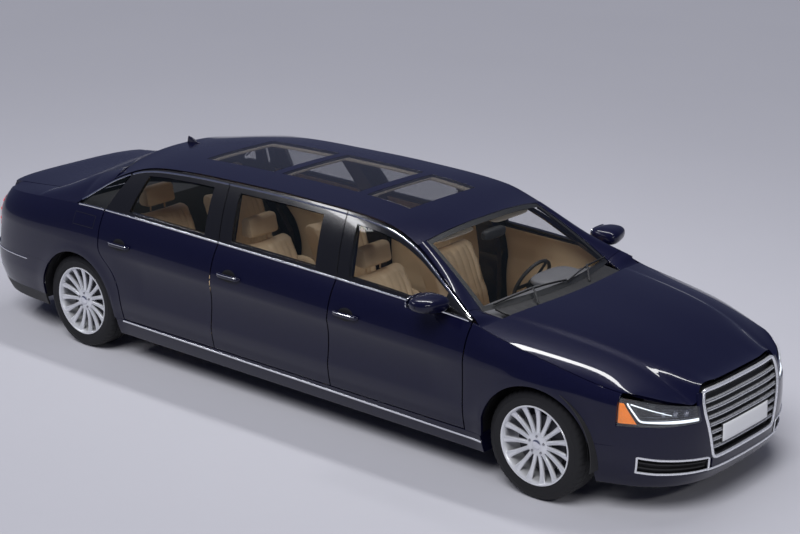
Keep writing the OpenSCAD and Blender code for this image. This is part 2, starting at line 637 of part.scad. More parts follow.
// Rows of the front bumper: height at the middle and at the wheel arch
bumper_rows = [
  [195, 205], [302, 335], [358, fender_low - seat_fit], [lamp_bottom - seat_fit, lamp_bottom - seat_fit],
  [640, 640], [720, 720], [770, 770]
];
bumper_ys = [0, 170, 1, 2, 600, 700];
bumper_xs = [fender_front, xf + 455];
function bumper_z(r, k) = mix(bumper_rows[r][0], bumper_rows[r][1], k);
function arch_front(z) = xf + (z > wheel_z ? sqrt(max(arch_r * arch_r - pow(z - wheel_z, 2), 0)) : arch_r) + 4;
function bumper_half(j, r, d) =
  j < 6
    ? let (
        k = [0, 0.2, 0.42, 0.46, 0.7, 0.85][j], z = bumper_z(r, k),
        y = j == 2 ? grille_w(z) + seat_fit : j == 3 ? max(lamp_in, grille_w(z) + 20) : bumper_ys[j]
      )
      front_at(max(y - d * (j > 3 ? 0.5 : 0), 0), z, d)
  : let (z = bumper_z(r, j == 6 ? 0.97 : 1), x = j < 8 ? bumper_xs[j - 6] : arch_front(z)) side(x, z, d);
function bumper_point(c, r, d) = c >= 8 ? bumper_half(c - 8, r, d) : flip_y(bumper_half(8 - c, r, d));
module front_bumper() {
  color(paint) shell(
    [for (r = [0:6]) [for (c = [0:16]) bumper_point(c, r, 0)]],
    [for (r = [0:6]) [for (c = [0:16]) bumper_point(c, r, bumper_t)]],
    function(r, c)
      let (j = c >= 8 ? c - 8 : 7 - c)
      r == 0 || (r == 1 && (j == 2 || j >= 5)) || (r == 2 && j >= 2 && j < 6) || (r >= 3 && j == 2)
  );
}

// Grille: a frame on the nose and the cross bars in it
grille_frame = 26;
bars = 7;
module grille() {
  cs = [1, 0.93, 0.62, 0.31, 0, -0.31, -0.62, -0.93, -1];
  zs = [grille_low, grille_low + grille_frame, 500, 640, 720, grille_high - grille_frame, grille_high];
  color(chrome) {
    shell(
      [for (z = zs) [for (k = [8:-1:0]) front_at(cs[k] * grille_w(z), z, 0)]],
      [for (z = zs) [for (k = [8:-1:0]) front_at(cs[k] * grille_w(z), z, 34)]],
      function(r, c) r == 0 || r == 5 || c == 0 || c == 7
    );
    bar_cs = [-0.96, -0.62, -0.31, 0, 0.31, 0.62, 0.96];
    pitch = (grille_high - grille_low - 2 * grille_frame) / (bars + 1);
    for (k = [1:bars]) {
      z = grille_low + grille_frame + k * pitch;
      shell(
        [for (h = [-11, 11]) [for (c = bar_cs) front_at(c * grille_w(z + h), z + h, 8)]],
        [for (h = [-9, 9]) [for (c = bar_cs) front_at(c * grille_w(z + h), z + h, 30)]]
      );
    }
  }
}

// Lamps fill the corners of the nose and tail
lamp_depth = 70;
module headlamps() {
  ks = [0, 0.2, 0.4, 0.6, 0.8, 1];
  function at(k, s, d) =
    let (
      z = mix(lamp_bottom, mix(700, 772, k), s), y0 = max(lamp_in + 4, grille_w(z) + 24),
      y1 = side_y(fender_front + 8, z), y = mix(y0, y1, k)
    )
    [front_x(y, z, y1 / plan(fender_front + 8, z)) - d, y - d * 0.6 * k, z];
  color(clear) both_sides() shell(
    [for (s = [0, 0.5, 1]) [for (k = ks) at(k, s, 0)]], [for (s = [0, 0.5, 1]) [for (k = ks) at(k, s, lamp_depth)]]
  );
}
tail_lamp_in = lid_half + shut_gap + 2;
module tail_lamps() {
  ks = [0, 0.25, 0.5, 0.75, 1];
  zs = [lamp_low, 850, 950];
  function at(k, z, d) =
    let (y1 = side_y(quarter_rear - 8, z), y = mix(y1, tail_lamp_in, k))
    [corner_rear + (tail_at(z) - corner_rear)
      * pow(1 - pow(y / (y1 / plan(quarter_rear - 8, z)), power_rear), 1 / power_rear) + d, y - d * 0.6 * (1 - k), z];
  color([0.6, 0.05, 0.05]) both_sides()
    shell([for (z = zs) [for (k = ks) at(k, z, 0)]], [for (z = zs) [for (k = ks) at(k, z, lamp_depth)]]);
}

// Rear bumper: rows from the bottom to the lamps
rear_rows = [235, 330, 417, 520, quarter_low - seat_fit, lamp_low - seat_fit];
rear_ys = [0, 220, 440, 620, 740];
rear_xs = [quarter_rear, xr - 700, xr - 520];
function arch_rear(z) = xr - (z > wheel_z ? sqrt(max(arch_r * arch_r - pow(z - wheel_z, 2), 0)) : arch_r) - 4;
function rear_half(j, r, d) =
  j < 5
    ? let (z = rear_rows[r]) rear_at(max(rear_ys[j] - d * (j > 2 ? 0.5 : 0), 0), z, d)
  : let (z = rear_rows[r], x = j < 8 ? rear_xs[j - 5] : arch_rear(z)) side(x, z, d);
function rear_point(c, r, d) = c >= 8 ? rear_half(c - 8, r, d) : flip_y(rear_half(8 - c, r, d));
module rear_bumper() {
  color(paint) shell(
    [for (r = [0:5]) [for (k = [16:-1:0]) rear_point(k, r, 0)]],
    [for (r = [0:5]) [for (k = [16:-1:0]) rear_point(k, r, bumper_t)]],
    function(r, c) let (j = c >= 8 ? c - 8 : 7 - c) r < 4 || j < 5
  );
}

// Boot lid: rows over the deck and down the tail; c across
lid_cols = [1, 0.8, 0.55, 0.28, 0, -0.28, -0.55, -0.8, -1];
lid_lip = 1040;
lid_low = lamp_low + shut_gap + 1;
lid_top_rows = [0, 0.1, 0.3, 0.55, 0.8, 1];
lid_tail_rows = [1015, 940, 850, lid_low];
function lid_top(c, t, d) =
  let (
    y = lid_half * c, xa = rear_low_x - 55 * (1 - c * c) - shut_gap - 1, xe = rear_x(y, lid_lip),
    x = mix(xa, xe, t)
  )
  [x - (t == 0 ? d * 0.4 : 0) + (t == 1 ? d : 0), y, deck_z(x, y) - d];
function lid_tail(c, z, d) = let (p = rear_at(lid_half * c, z, d)) [p[0], p[1], z];
lid_pin = [rear_low_x - 62, deck_z(rear_low_x - 62, lid_half) - lid_t / 2];
lid_pin_r = 4;
lid_pin_l = 30;
module boot_lid() {
  color(paint) difference() {
    shell(
      concat(
        [for (t = lid_top_rows) [for (k = [8:-1:0]) lid_top(lid_cols[k], t, 0)]],
        [for (z = lid_tail_rows) [for (k = [8:-1:0]) lid_tail(lid_cols[k], z, 0)]]
      ),
      concat(
        [for (t = lid_top_rows) [for (k = [8:-1:0]) lid_top(lid_cols[k], t, lid_t)]],
        [for (z = lid_tail_rows) [for (k = [8:-1:0]) lid_tail(lid_cols[k], z, lid_t)]]
      )
    );
    both_sides() translate([lid_pin[0], lid_half + 1, lid_pin[1]]) rotate([90, 0, 0])
      cylinder(h = lid_pin_l + 2, r = lid_pin_r + pin_fit);
  }
}
module lid_pins() {
  both_sides() translate([lid_pin[0], lid_half + shut_gap - 0.3, lid_pin[1]]) rotate([90, 0, 0])
    cylinder(h = lid_pin_l + shut_gap - 1, r = lid_pin_r);
}

// Hood hinge: arms under the hood turn on pins held by the firewall
firewall_x = xf - 457;
firewall_top = 935;
hood_barrel = 30;
module hood_arms() {
  both_sides() translate([hood_axis[0], hood_hinge_y, hood_axis[1]]) difference() {
    union() {
      rotate([90, 0, 0]) translate([0, 0, -hood_barrel / 2]) cylinder(h = hood_barrel, r = hinge_pin_r + 5);
      translate([0, 1 - hood_barrel / 2, 0]) rotate([0, -14, 0]) cube([hood_arm + 110, hood_barrel - 2, 9]);
    }
    rotate([90, 0, 0]) translate([0, 0, -hood_barrel]) cylinder(h = 2 * hood_barrel, r = hinge_pin_r + pin_fit);
  }
}
module hood_pins() {
  both_sides() translate([hood_axis[0], hood_hinge_y, hood_axis[1]]) {
    for (s = [-1, 1]) translate([0, s * (hood_barrel / 2 + 0.5 + lug_h / 2), 0]) {
      rotate([90, 0, 0]) translate([0, 0, -lug_h / 2]) cylinder(h = lug_h, r = hinge_pin_r + 5);
      translate([0, -lug_h / 2, firewall_top - hood_axis[1] - 22])
        cube([firewall_x - hood_axis[0] - 0.3, lug_h, 22 + 20]);
    }
    rotate([90, 0, 0]) translate([0, 0, -hood_barrel / 2 - 0.5 - lug_h])
      cylinder(h = hood_barrel + 1 + 2 * lug_h, r = hinge_pin_r);
  }
}

// Plate of even thickness along a path of [x, z] points, as an outline
function unit(v) = v / norm(v);
function path_normal(p, i) =
  let (
    a = i > 0 ? unit(p[i] - p[i - 1]) : unit(p[i + 1] - p[i]),
    b = i < len(p) - 1 ? unit(p[i + 1] - p[i]) : a, m = unit(a + b)
  )
  [-m[1], m[0]] / (m * a);
function plate(p, t) =
  concat(p, [for (i = [len(p) - 1:-1:0]) p[i] + t * path_normal(p, i)]);
module strip(p, t, w) {
  rotate([90, 0, 0]) translate([0, 0, -w]) linear_extrude(2 * w) polygon(plate(p, t));
}

// Floor: firewall, footwells, seat pan, bulkhead and boot floor
floor_z = 200;
floor_t = 22;
pan_w = sill_in_y - seat_fit;
rear_pan_w = 630 - seat_fit;
heel_x = xr + 878;
bulkhead_x = xr + 60;
boot_floor = 330;
boot_end = tail_x + 120;
module floor_pan() {
  color(dark) union() {
    strip(
      [[heel_x, floor_z], [xf - 640, floor_z], [firewall_x, 400], [firewall_x, firewall_top]], -floor_t, pan_w
    );
    strip(
      [[boot_end, boot_floor + 330], [boot_end, boot_floor], [bulkhead_x, boot_floor], [heel_x - 60, boot_floor],
       [heel_x, floor_z], [heel_x + 30, floor_z]], -floor_t, rear_pan_w
    );
    strip(
      [[bulkhead_x - 60, boot_floor - 1], [bulkhead_x - 60, boot_floor + 130], [bulkhead_x - 140, 960],
       [rear_low_x + 60, 985]], floor_t, rear_pan_w
    );
    translate([heel_x, -120, floor_z - 1]) cube([xf - 640 - heel_x, 240, 70]);
  }
}

// Inner wheel arches
rear_liner_r = arch_r + 7;
front_liner_r = arch_r + 26;
liner_out = half_w - 100;
module liner(liner_r, inner_y, from, to) {
  rotate([90, 0, 0]) rotate([0, 0, from]) translate([0, 0, -liner_out])
    rotate_extrude(angle = to - from)
      polygon([
        [liner_r, 0], [liner_r + 5, 0], [liner_r + 5, liner_out - inner_y], [60, liner_out - inner_y],
        [60, liner_out - 5 - inner_y], [liner_r, liner_out - 5 - inner_y]
      ]);
}
module wheel_housings() {
  color(dark) both_sides() {
    difference() {
      translate([xf, 0, wheel_z]) liner(front_liner_r, 470, 18, 166);
      translate([xf - 45, 400, wheel_z]) cube([90, 120, 230]);
    }
    translate([xr, 0, wheel_z]) liner(rear_liner_r, 630, 8, 150);
  }
}

// Engine block, and the radiator between the chassis rails
rail_in = 385;
rail_out = 470 - seat_fit;
module engine() {
  color(metal) {
    translate([xf - 250, -300, arm_low + 60]) cube([620, 600, 500]);
    translate([nose_x - 190, -rail_in + seat_fit, 300]) cube([60, 2 * (rail_in - seat_fit), 400]);
  }
}

// Suspension arms, uprights and axles
king_y = wheel_y - 97;
king_r = 26;
king_pin_r = 8;
spindle_r = 22;
arm_low = 190;
arm_high = 520;
arm_t = 26;
module subframes() {
  color(metal) {
    translate([xf - 60, -430, arm_low - 40]) cube([120, 860, 60]);
    translate([xf - 60, -290, arm_low]) cube([120, 580, 59.7]);
    both_sides() {
      translate([xf - 24, 400, arm_low]) cube([48, king_y - 400, arm_t]);
      translate([xf, king_y, arm_low]) cylinder(h = arm_t, r = 24);
      translate([xf, king_y, arm_low + arm_t - 1]) cylinder(h = 31, r = king_pin_r);
      translate([xf - 24, 400, arm_low]) cube([48, 40, arm_high + arm_t - arm_low]);
      translate([xf - 24, 400, arm_high]) cube([48, king_y - 400, arm_t]);
      translate([xf, king_y, arm_high]) cylinder(h = arm_t, r = 24);
      translate([xf, king_y, arm_high - 30]) cylinder(h = 31, r = king_pin_r);
    }
    both_sides() translate([firewall_x + floor_t + seat_fit, rail_in, 380])
      cube([nose_x - 130 - firewall_x - floor_t, rail_out - rail_in, 90]);
    translate([xr - 50, -king_y, wheel_z - 140]) cube([100, 2 * king_y, 30]);
    both_sides() {
      translate([xr - 40, 380, wheel_z - 111]) cube([80, 60, boot_floor - floor_t - seat_fit - wheel_z + 111]);
      translate([xr - 50, king_y - 30, wheel_z - 140]) cube([100, 30, 190]);
      translate([xr, king_y - 1, wheel_z]) rotate([-90, 0, 0]) cylinder(h = wheel_y + 79 - king_y, r = spindle_r);
    }
  }
}
module front_knuckle(left) {
  bottom = arm_low + arm_t + 0.5;
  top = arm_high - 0.5;
  color(metal) on_side(left) difference() {
    union() {
      translate([xf, king_y, bottom]) cylinder(h = top - bottom, r = king_r);
      translate([xf, king_y, wheel_z]) rotate([-90, 0, 0]) cylinder(h = wheel_y + 79 - king_y, r = spindle_r);
    }
    translate([xf, king_y, bottom - 1]) cylinder(h = 33, r = king_pin_r + pin_fit);
    translate([xf, king_y, top - 32]) cylinder(h = 33, r = king_pin_r + pin_fit);
  }
}

// Wheels: axis along Y, outer face outwards
rim_r = rim_d / 2;
well_r = rim_r - 13;
rim_half = tyre_w / 2 - 7;
hub_r = 76;
bolt_circle = 112;
bolts = 5;
module wheel_shape() {
  difference() {
    union() {
      rotate_extrude() polygon([
        [well_r - 10, -rim_half], [rim_r, -rim_half], [rim_r, -rim_half + 6], [well_r, -rim_half + 14],
        [well_r, rim_half - 14], [rim_r, rim_half - 6], [rim_r, rim_half], [rim_r - 12, rim_half],
        [well_r - 12, rim_half - 16], [well_r - 10, rim_half - 40]
      ]);
      for (k = [0:spokes - 1]) rotate([0, 0, k * 360 / spokes + 90 / spokes]) rotate([90, 0, 0])
        translate([0, 0, -9]) linear_extrude(18)
          polygon([[50, 62], [50, 92], [150, 96], [well_r - 6, 108], [well_r - 6, 84], [150, 72]]);
      translate([0, 0, 58]) cylinder(h = 38, r = hub_r);
      cylinder(h = 60, r = 80);
      translate([0, 0, -8]) cylinder(h = 22, r = 178);
      translate([0, 0, 95]) cylinder(h = 7, r = 34);
    }
    translate([0, 0, -20]) cylinder(h = 100, r = spindle_r + pin_fit);
    for (k = [0:bolts - 1]) rotate([0, 0, k * 360 / bolts + 18]) translate([bolt_circle / 2, 0, 82])
      cylinder(h = 30, r = 11);
  }
}
module tyre_shape() {
  r = tyre_d / 2;
  h = tyre_w / 2;
  bead = well_r + 0.4;
  rotate_extrude() polygon([
    [bead, -rim_half + 14.5], [rim_r + 0.5, -rim_half + 6.6], [rim_r + 0.5, -h + 5], [rim_r + 40, -h],
    [r - 34, -h + 3], [r - 12, -h + 16], [r, -h + 44], [r, h - 44], [r - 12, h - 16], [r - 34, h - 3],
    [rim_r + 40, h], [rim_r + 0.5, h - 5], [rim_r + 0.5, rim_half - 6.6], [bead, rim_half - 14.5]
  ], $fn = 96);
}
module at_wheel(front, left) {
  on_side(left) translate([front ? xf : xr, wheel_y, wheel_z]) rotate([-90, 0, 0]) children();
}
module wheel(front, left) {
  color(chrome) at_wheel(front, left) wheel_shape();
}
module tyre(front, left) {
  color(dark) at_wheel(front, left) tyre_shape($fn = 96);
}

// Cabin: dashboard, consoles, six seats and the steering wheel
seat_y = 372;
seat_low = 300;
// Seat rows: [x of the hip point, height of the cushion's underside]
seat_rows = [[cut_centre + 45, seat_low], [cut_rear + 70, seat_low], [xr + 428, boot_floor + seat_fit]];
module dashboard() {
  color(dark) {
    rotate([90, 0, 0]) translate([0, 0, -700]) linear_extrude(1400)
      polygon([[xf - 520, 700], [xf - 520, 975], [xf - 700, 985], [xf - 860, 930], [xf - 880, 860], [xf - 790, 720]]);
    translate(steer_at) rotate([0, 90 + steer_tilt, 0]) difference() {
      translate([0, 0, 117]) cylinder(h = 160, r = 32);
      translate([0, 0, 116]) cylinder(h = 44, r = 10 + pin_fit);
    }
    translate([xf - 560, -690, 690]) cube([firewall_x - seat_fit - xf + 560, 1380, 11]);
  }
}
module consoles() {
  color(dark) {
    translate([cut_centre + 20, -85, floor_z + 69.5]) cube([620, 170, 250]);
    translate([cut_rear + 60, -85, floor_z + 69.5]) cube([560, 170, 250]);
  }
}
module cushion_shape() {
  rotate([90, 0, 0]) translate([0, 0, -seat_w / 2]) linear_extrude(seat_w)
    polygon([[0, 0], [520, 0], [560, 40], [570, 120], [540, 165], [480, 180], [100, 140], [0, 150]]);
}
module back_shape() {
  rotate([90, 0, 0]) translate([0, 0, -seat_w / 2]) linear_extrude(seat_w)
    polygon([[8, 149.8], [100, 140.6], [60, 320], [-40, 560], [-110, 680], [-160, 700], [-215, 680], [-225, 640], [-90, 300]]);
}
module rest_shape() {
  rotate([90, 0, 0]) translate([0, 0, -140]) linear_extrude(280)
    polygon([[-205, 700.4], [-115, 700.4], [-105, 720], [-130, 850], [-150, 865], [-200, 865], [-222, 845], [-225, 720]]);
}
module seat_cushions() {
  color(leather) for (row = seat_rows, s = [-1, 1]) {
    translate([row[0], s * seat_y, row[1]]) cushion_shape();
    if (row[1] == seat_low) for (k = [-1, 1])
      translate([row[0] + 60, s * seat_y + k * 200 - 20, floor_z + seat_fit])
        cube([420, 40, seat_low - floor_z - seat_fit + 1]);
  }
}
module seat_backs() {
  color(leather) for (row = seat_rows, s = [-1, 1]) translate([row[0], s * seat_y, row[1]]) {
    back_shape();
    rest_shape();
  }
}
steer_at = [xf - 1010, seat_y, 872];
steer_tilt = 25;
module steering_wheel() {
  r = steering_wheel_d / 2;
  color(dark) translate(steer_at) rotate([0, -90 + steer_tilt, 0]) union() {
    rotate_extrude() translate([r - 14, 0]) circle(r = 14);
    translate([0, 0, -30]) cylinder(h = 36, r = 62);
    for (a = [90, 200, 340]) rotate([0, 0, a]) translate([40, -16, -18]) cube([r - 50, 32, 14]);
    translate([0, 0, -116.6]) cylinder(h = 92, r = 24);
    translate([0, 0, -156]) cylinder(h = 45, r = 10);
  }
}

// Mirrors stand on the front doors
mirror_x = xf - 760;
mirror_seat = upper(mirror_x, 0.2);
// Outline of the mirror's housing seen from above, [behind or ahead, outside the door's seat], and from the front
mirror_top = [[-60, 22], [70, 37], [85, 102], [60, 197], [10, 227], [-60, 232]];
mirror_front = [[12, 6], [37, -19], [202, -21], [234, 6], [234, 71], [207, 99], [52, 101], [17, 71]];
mirror_y = half_w - 96.5;
mirror_z = mirror_seat[2] - 2;
module door_mirror(left) {
  color(paint) on_side(left) translate([mirror_x, 0, 0]) union() {
    intersection() {
      translate([0, mirror_y, mirror_z - 40]) linear_extrude(170) polygon(mirror_top);
      translate([-100, mirror_y, mirror_z]) rotate([90, 0, 90]) linear_extrude(300) polygon(mirror_front);
    }
    translate([-20, mirror_seat[1] - seat_fit, mirror_seat[2]]) cube([50, mirror_y + 42 - mirror_seat[1], 34]);
  }
}

module front_door(left) { color(paint) on_side(left) door(0); }
module centre_door(left) { color(paint) on_side(left) door(1); }
module rear_door(left) { color(paint) on_side(left) door(2); }
module front_glass(left) { color(clear) on_side(left) door_glass(0); }
module centre_glass(left) { color(clear) on_side(left) door_glass(1); }
module rear_glass(left) { color(clear) on_side(left) door_glass(2); }

floor_pan();
sills();
body_side_frames();
front_fenders();
rear_quarters();
roof_panel();
roof_glass();
windscreen();
cowl();
rear_window();
quarter_windows();
front_bumper();
rear_bumper();
grille();
headlamps();
tail_lamps();
wheel_housings();
engine();
subframes();
dashboard();
consoles();
seat_cushions();
seat_backs();
steering_wheel();
hinge_pins();
hood();
boot_lid();
front_door(true);  // front_door_left
front_door(false);  // front_door_right
centre_door(true);  // centre_door_left
centre_door(false);  // centre_door_right
rear_door(true);  // rear_door_left
rear_door(false);  // rear_door_right
front_glass(true);  // front_glass_left
front_glass(false);  // front_glass_right
centre_glass(true);  // centre_glass_left
centre_glass(false);  // centre_glass_right
rear_glass(true);  // rear_glass_left
rear_glass(false);  // rear_glass_right
door_mirror(true);  // mirror_left
door_mirror(false);  // mirror_right
front_knuckle(true);  // front_knuckle_left
front_knuckle(false);  // front_knuckle_right
wheel(true, true);  // front_wheel_left
wheel(true, false);  // front_wheel_right
wheel(false, true);  // rear_wheel_left
wheel(false, false);  // rear_wheel_right
tyre(true, true);  // front_tyre_left
tyre(true, false);  // front_tyre_right
tyre(false, true);  // rear_tyre_left
tyre(false, false);  // rear_tyre_right
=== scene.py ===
"""Looks of a six-door stretch limousine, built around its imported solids.

Every surface is worked out with numpy from the same named lines as the solids, in millimetres, and put into
meshes in metres. Each sub-assembly is a class; main() builds them in order.
"""

import logging
import math
from dataclasses import dataclass
from enum import Enum
from typing import Callable, Optional, Sequence

import bpy
import numpy as np
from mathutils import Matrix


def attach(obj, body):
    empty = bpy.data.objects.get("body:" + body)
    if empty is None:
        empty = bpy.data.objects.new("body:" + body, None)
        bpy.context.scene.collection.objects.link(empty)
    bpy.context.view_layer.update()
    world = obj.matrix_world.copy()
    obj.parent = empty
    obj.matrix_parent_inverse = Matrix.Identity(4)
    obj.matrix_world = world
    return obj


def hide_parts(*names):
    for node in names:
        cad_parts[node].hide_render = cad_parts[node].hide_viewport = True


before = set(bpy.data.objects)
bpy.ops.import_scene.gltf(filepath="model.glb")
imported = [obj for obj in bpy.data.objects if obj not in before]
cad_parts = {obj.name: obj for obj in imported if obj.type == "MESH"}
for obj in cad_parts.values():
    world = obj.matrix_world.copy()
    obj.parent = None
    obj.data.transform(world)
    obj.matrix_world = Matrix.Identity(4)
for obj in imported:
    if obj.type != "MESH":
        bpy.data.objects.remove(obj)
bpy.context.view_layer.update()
LOG = logging.getLogger("limousine")
Array = np.ndarray
Mesh = tuple[Array, Array]
MM = 0.001
FORWARD, BACKWARD = np.array([1.0, 0, 0]), np.array([-1.0, 0, 0])
LEFTWARD, UPWARD = np.array([0, 1.0, 0]), np.array([0, 0, 1.0])
SHARP_ANGLE = math.radians(38)
BEVEL_ANGLE = math.radians(50)
BUMP_DISTANCE = 0.0006


class Side(Enum):
    """Which side of the car a piece is on; the value is the sign of its Y."""

    LEFT = 1
    RIGHT = -1

    @property
    def word(self) -> str:
        """Name used in the solids' node names."""
        return self.name.lower()


def mix(a: Array | float, b: Array | float, t: Array | float) -> Array:
    """Straight blend from a (t = 0) to b (t = 1)."""
    return a + (b - a) * t


def clamp(v: Array, low: float = 0.0, high: float = 1.0) -> Array:
    """Keeps v between low and high."""
    return np.minimum(np.maximum(v, low), high)


def ease(v: Array) -> Array:
    """Smooth step: 3v^2 - 2v^3 on the clamped value."""
    v = clamp(v)
    return v * v * (3 - 2 * v)


def stack(x: Array, y: Array, z: Array) -> Array:
    """Joins coordinates of one shape into points."""
    return np.stack(np.broadcast_arrays(x, y, z), axis=-1).astype(float)


def mids(v: Array) -> Array:
    """Middles between neighbouring values."""
    return (v[1:] + v[:-1]) / 2


def inside(v: Array, low: float, high: float) -> Array:
    """Truth value of each v: True between low and high."""
    return (v > low) & (v < high)


def grid(a: Array, b: Array) -> tuple[Array, Array]:
    """Rows of a against columns of b."""
    return np.meshgrid(a, b, indexing="ij")


def fall(k: Array, power: float) -> Array:
    """Superellipse: 1 at k = 0, falling to 0 at k = 1."""
    return (1 - k**power) ** (1 / power)


def reach(c: Array, s: Array, power: float) -> Array:
    """Radius of a unit superellipse in the direction with cosine c and sine s."""
    return (np.abs(c) ** power + np.abs(s) ** power) ** (-1 / power)


def smoothed(path: Array, rounds: int) -> Array:
    """Open path whose inner points move to the mean of their neighbours, a few rounds."""
    for _ in range(rounds):
        path[1:-1] = (path[:-2] + 2 * path[1:-1] + path[2:]) / 4
    return path


def bands(breaks: Sequence[float], counts: Sequence[int]) -> Array:
    """Evenly spaced values inside each band, with every break kept.

    Args:
        breaks: Band ends in order.
        counts: Steps in each band.

    Returns:
        All the values from the first break to the last.
    """
    parts = [np.linspace(a, b, n, endpoint=False) for a, b, n in zip(breaks[:-1], breaks[1:], counts)]
    return np.concatenate(parts + [np.array([breaks[-1]])])


class Line:
    """Smooth line through a table of [position, value]: cubic pieces whose slopes come from the neighbours,
    then evened out with a Gaussian so that reflections run without breaks."""

    def __init__(self, table: Sequence[Sequence[float]], even: float = 0.0) -> None:
        """Samples the line.

        Args:
            table: Rows of position and value, in rising order.
            even: Standard deviation of the Gaussian, in the position's unit.
        """
        t = np.array(table, float)
        p, v = t[:, 0], t[:, 1]
        n = len(p)
        a = np.maximum(np.arange(n) - 1, 0)
        b = np.minimum(np.arange(n) + 1, n - 1)
        slope = (v[b] - v[a]) / (p[b] - p[a])
        margin = 4 * even
        step = (p[-1] - p[0]) / 1600
        x = np.arange(p[0] - margin, p[-1] + margin + step, step)
        i = np.clip(np.searchsorted(p, x, side="right") - 1, 0, n - 2)
        h = p[i + 1] - p[i]
        s = clamp((x - p[i]) / h)
        y = (
            v[i] * (2 * s**3 - 3 * s**2 + 1) + slope[i] * h * (s**3 - 2 * s**2 + s)
            + v[i + 1] * (3 * s**2 - 2 * s**3) + slope[i + 1] * h * (s**3 - s**2)
        )
        if even:
            k = np.exp(-0.5 * (np.arange(-margin, margin + step, step) / even) ** 2)
            half = len(k) // 2
            y = np.convolve(np.pad(y, half, mode="edge"), k / k.sum(), mode="same")[half:-half]
        self.x, self.y = x, y

    def __call__(self, x: Array | float) -> Array:
        """Value of the line at x, held at its ends."""
        return np.interp(x, self.x, self.y)


def flip(points: Array) -> Array:
    """Mirror image on the other side of the car: Y changes sign."""
    return points * np.array([1.0, -1.0, 1.0])


def on_side(mesh: Mesh, side: Side) -> Mesh:
    """Left mesh, or its mirror image with the faces turned back outwards."""
    points, faces = mesh
    return (points, faces) if side is Side.LEFT else (flip(points), faces[:, ::-1])


def both(mesh: Mesh) -> Mesh:
    """A left mesh and its mirror image in one."""
    return join([mesh, on_side(mesh, Side.RIGHT)])


def join(meshes: Sequence[Mesh]) -> Mesh:
    """Several meshes as one, with the faces numbered on."""
    starts = np.cumsum([0] + [len(p) for p, _ in meshes[:-1]])
    return np.concatenate([p for p, _ in meshes]), np.concatenate([f + s for (_, f), s in zip(meshes, starts)])


def outward(points: Array, faces: Array) -> Array:
    """Turns all the faces round if their signed volume is negative."""
    a, b, c, d = (points[faces[:, k]] for k in range(4))
    volume = np.einsum("ij,ij->i", a, np.cross(b, c) + np.cross(c, d)).sum()
    return faces if volume > 0 else faces[:, ::-1]


def shell(outer: Array, inner: Array, keep: Optional[Array] = None) -> Mesh:
    """Closed wall between two grids of points; a cell that isn't kept is left open, with walls around it.

    Args:
        outer: Grid of points, rows by columns by 3.
        inner: Grid of the same shape, behind the outer one.
        keep: Truth value of each cell, or None for all.

    Returns:
        Points and four-sided faces.
    """
    rows, cols = outer.shape[:2]
    n = rows * cols
    on = np.ones((rows - 1, cols - 1), bool) if keep is None else keep
    number = np.arange(n).reshape(rows, cols)
    a, b, d, e = number[:-1, :-1], number[:-1, 1:], number[1:, :-1], number[1:, 1:]
    quads = [np.stack([a, b, e, d], -1)[on], np.stack([a, d, e, b], -1)[on] + n]
    edge = np.pad(on, 1)
    for hidden, p, q in (
        (edge[:-2, 1:-1], b, a), (edge[2:, 1:-1], d, e), (edge[1:-1, :-2], a, d), (edge[1:-1, 2:], e, b)
    ):
        m = on & ~hidden
        quads.append(np.stack([p, q, q + n, p + n], -1)[m])
    faces = np.concatenate(quads)
    points = np.concatenate([outer.reshape(-1, 3), inner.reshape(-1, 3)])
    used, back = np.unique(faces, return_inverse=True)
    faces = back.reshape(faces.shape)
    points = points[used]
    return points, outward(points, faces)


def layer(
    face: Callable[..., Array], a: Array, b: Array, depths: Sequence[Array | float], keep: Optional[Array] = None
) -> Mesh:
    """Wall between two depths of one face.

    Args:
        face: Gives the points for two coordinates and a depth.
        a: First coordinate.
        b: Second coordinate.
        depths: Depth of the outer and of the inner side.
        keep: Truth value of each cell, or None for all.

    Returns:
        Points and four-sided faces.
    """
    return shell(face(a, b, depths[0]), face(a, b, depths[1]), keep)


def tube(rings: Array, closed: bool = False) -> Mesh:
    """Skin over a row of rings of points; open ends get caps that close on the ring's middle.

    Args:
        rings: Rings by points by 3, each ring a closed loop.
        closed: True where the last ring joins the first.

    Returns:
        Points and four-sided faces.
    """
    if not closed:
        ends = rings[[0, -1]].mean(axis=1, keepdims=True)
        first = np.broadcast_to(ends[0], rings[0].shape)
        last = np.broadcast_to(ends[1], rings[-1].shape)
        rings = np.concatenate([first[None], rings, last[None]])
    rows, cols = rings.shape[:2]
    number = np.arange(rows * cols).reshape(rows, cols)
    if closed:
        number = np.concatenate([number, number[:1]])
    number = np.concatenate([number, number[:, :1]], axis=1)
    a, b, d, e = number[:-1, :-1], number[:-1, 1:], number[1:, :-1], number[1:, 1:]
    faces = np.stack([a, b, e, d], -1).reshape(-1, 4)
    points = rings.reshape(-1, 3)
    return points, outward(points, faces)


def loop_section(width: float, height: float, power: float = 4.0, steps: int = 16) -> Array:
    """Closed section in the shape of a superellipse: |u/w|^p + |v/h|^p = 1.

    Args:
        width: Whole width.
        height: Whole height.
        power: 2 gives an ellipse, more gives a rounded box.
        steps: Points around.

    Returns:
        Points of u and v.
    """
    a = np.linspace(0, 2 * np.pi, steps, endpoint=False) + np.pi / steps
    c, s = np.cos(a), np.sin(a)
    r = reach(c, s, power)
    return np.stack([c * r * width / 2, s * r * height / 2], -1)


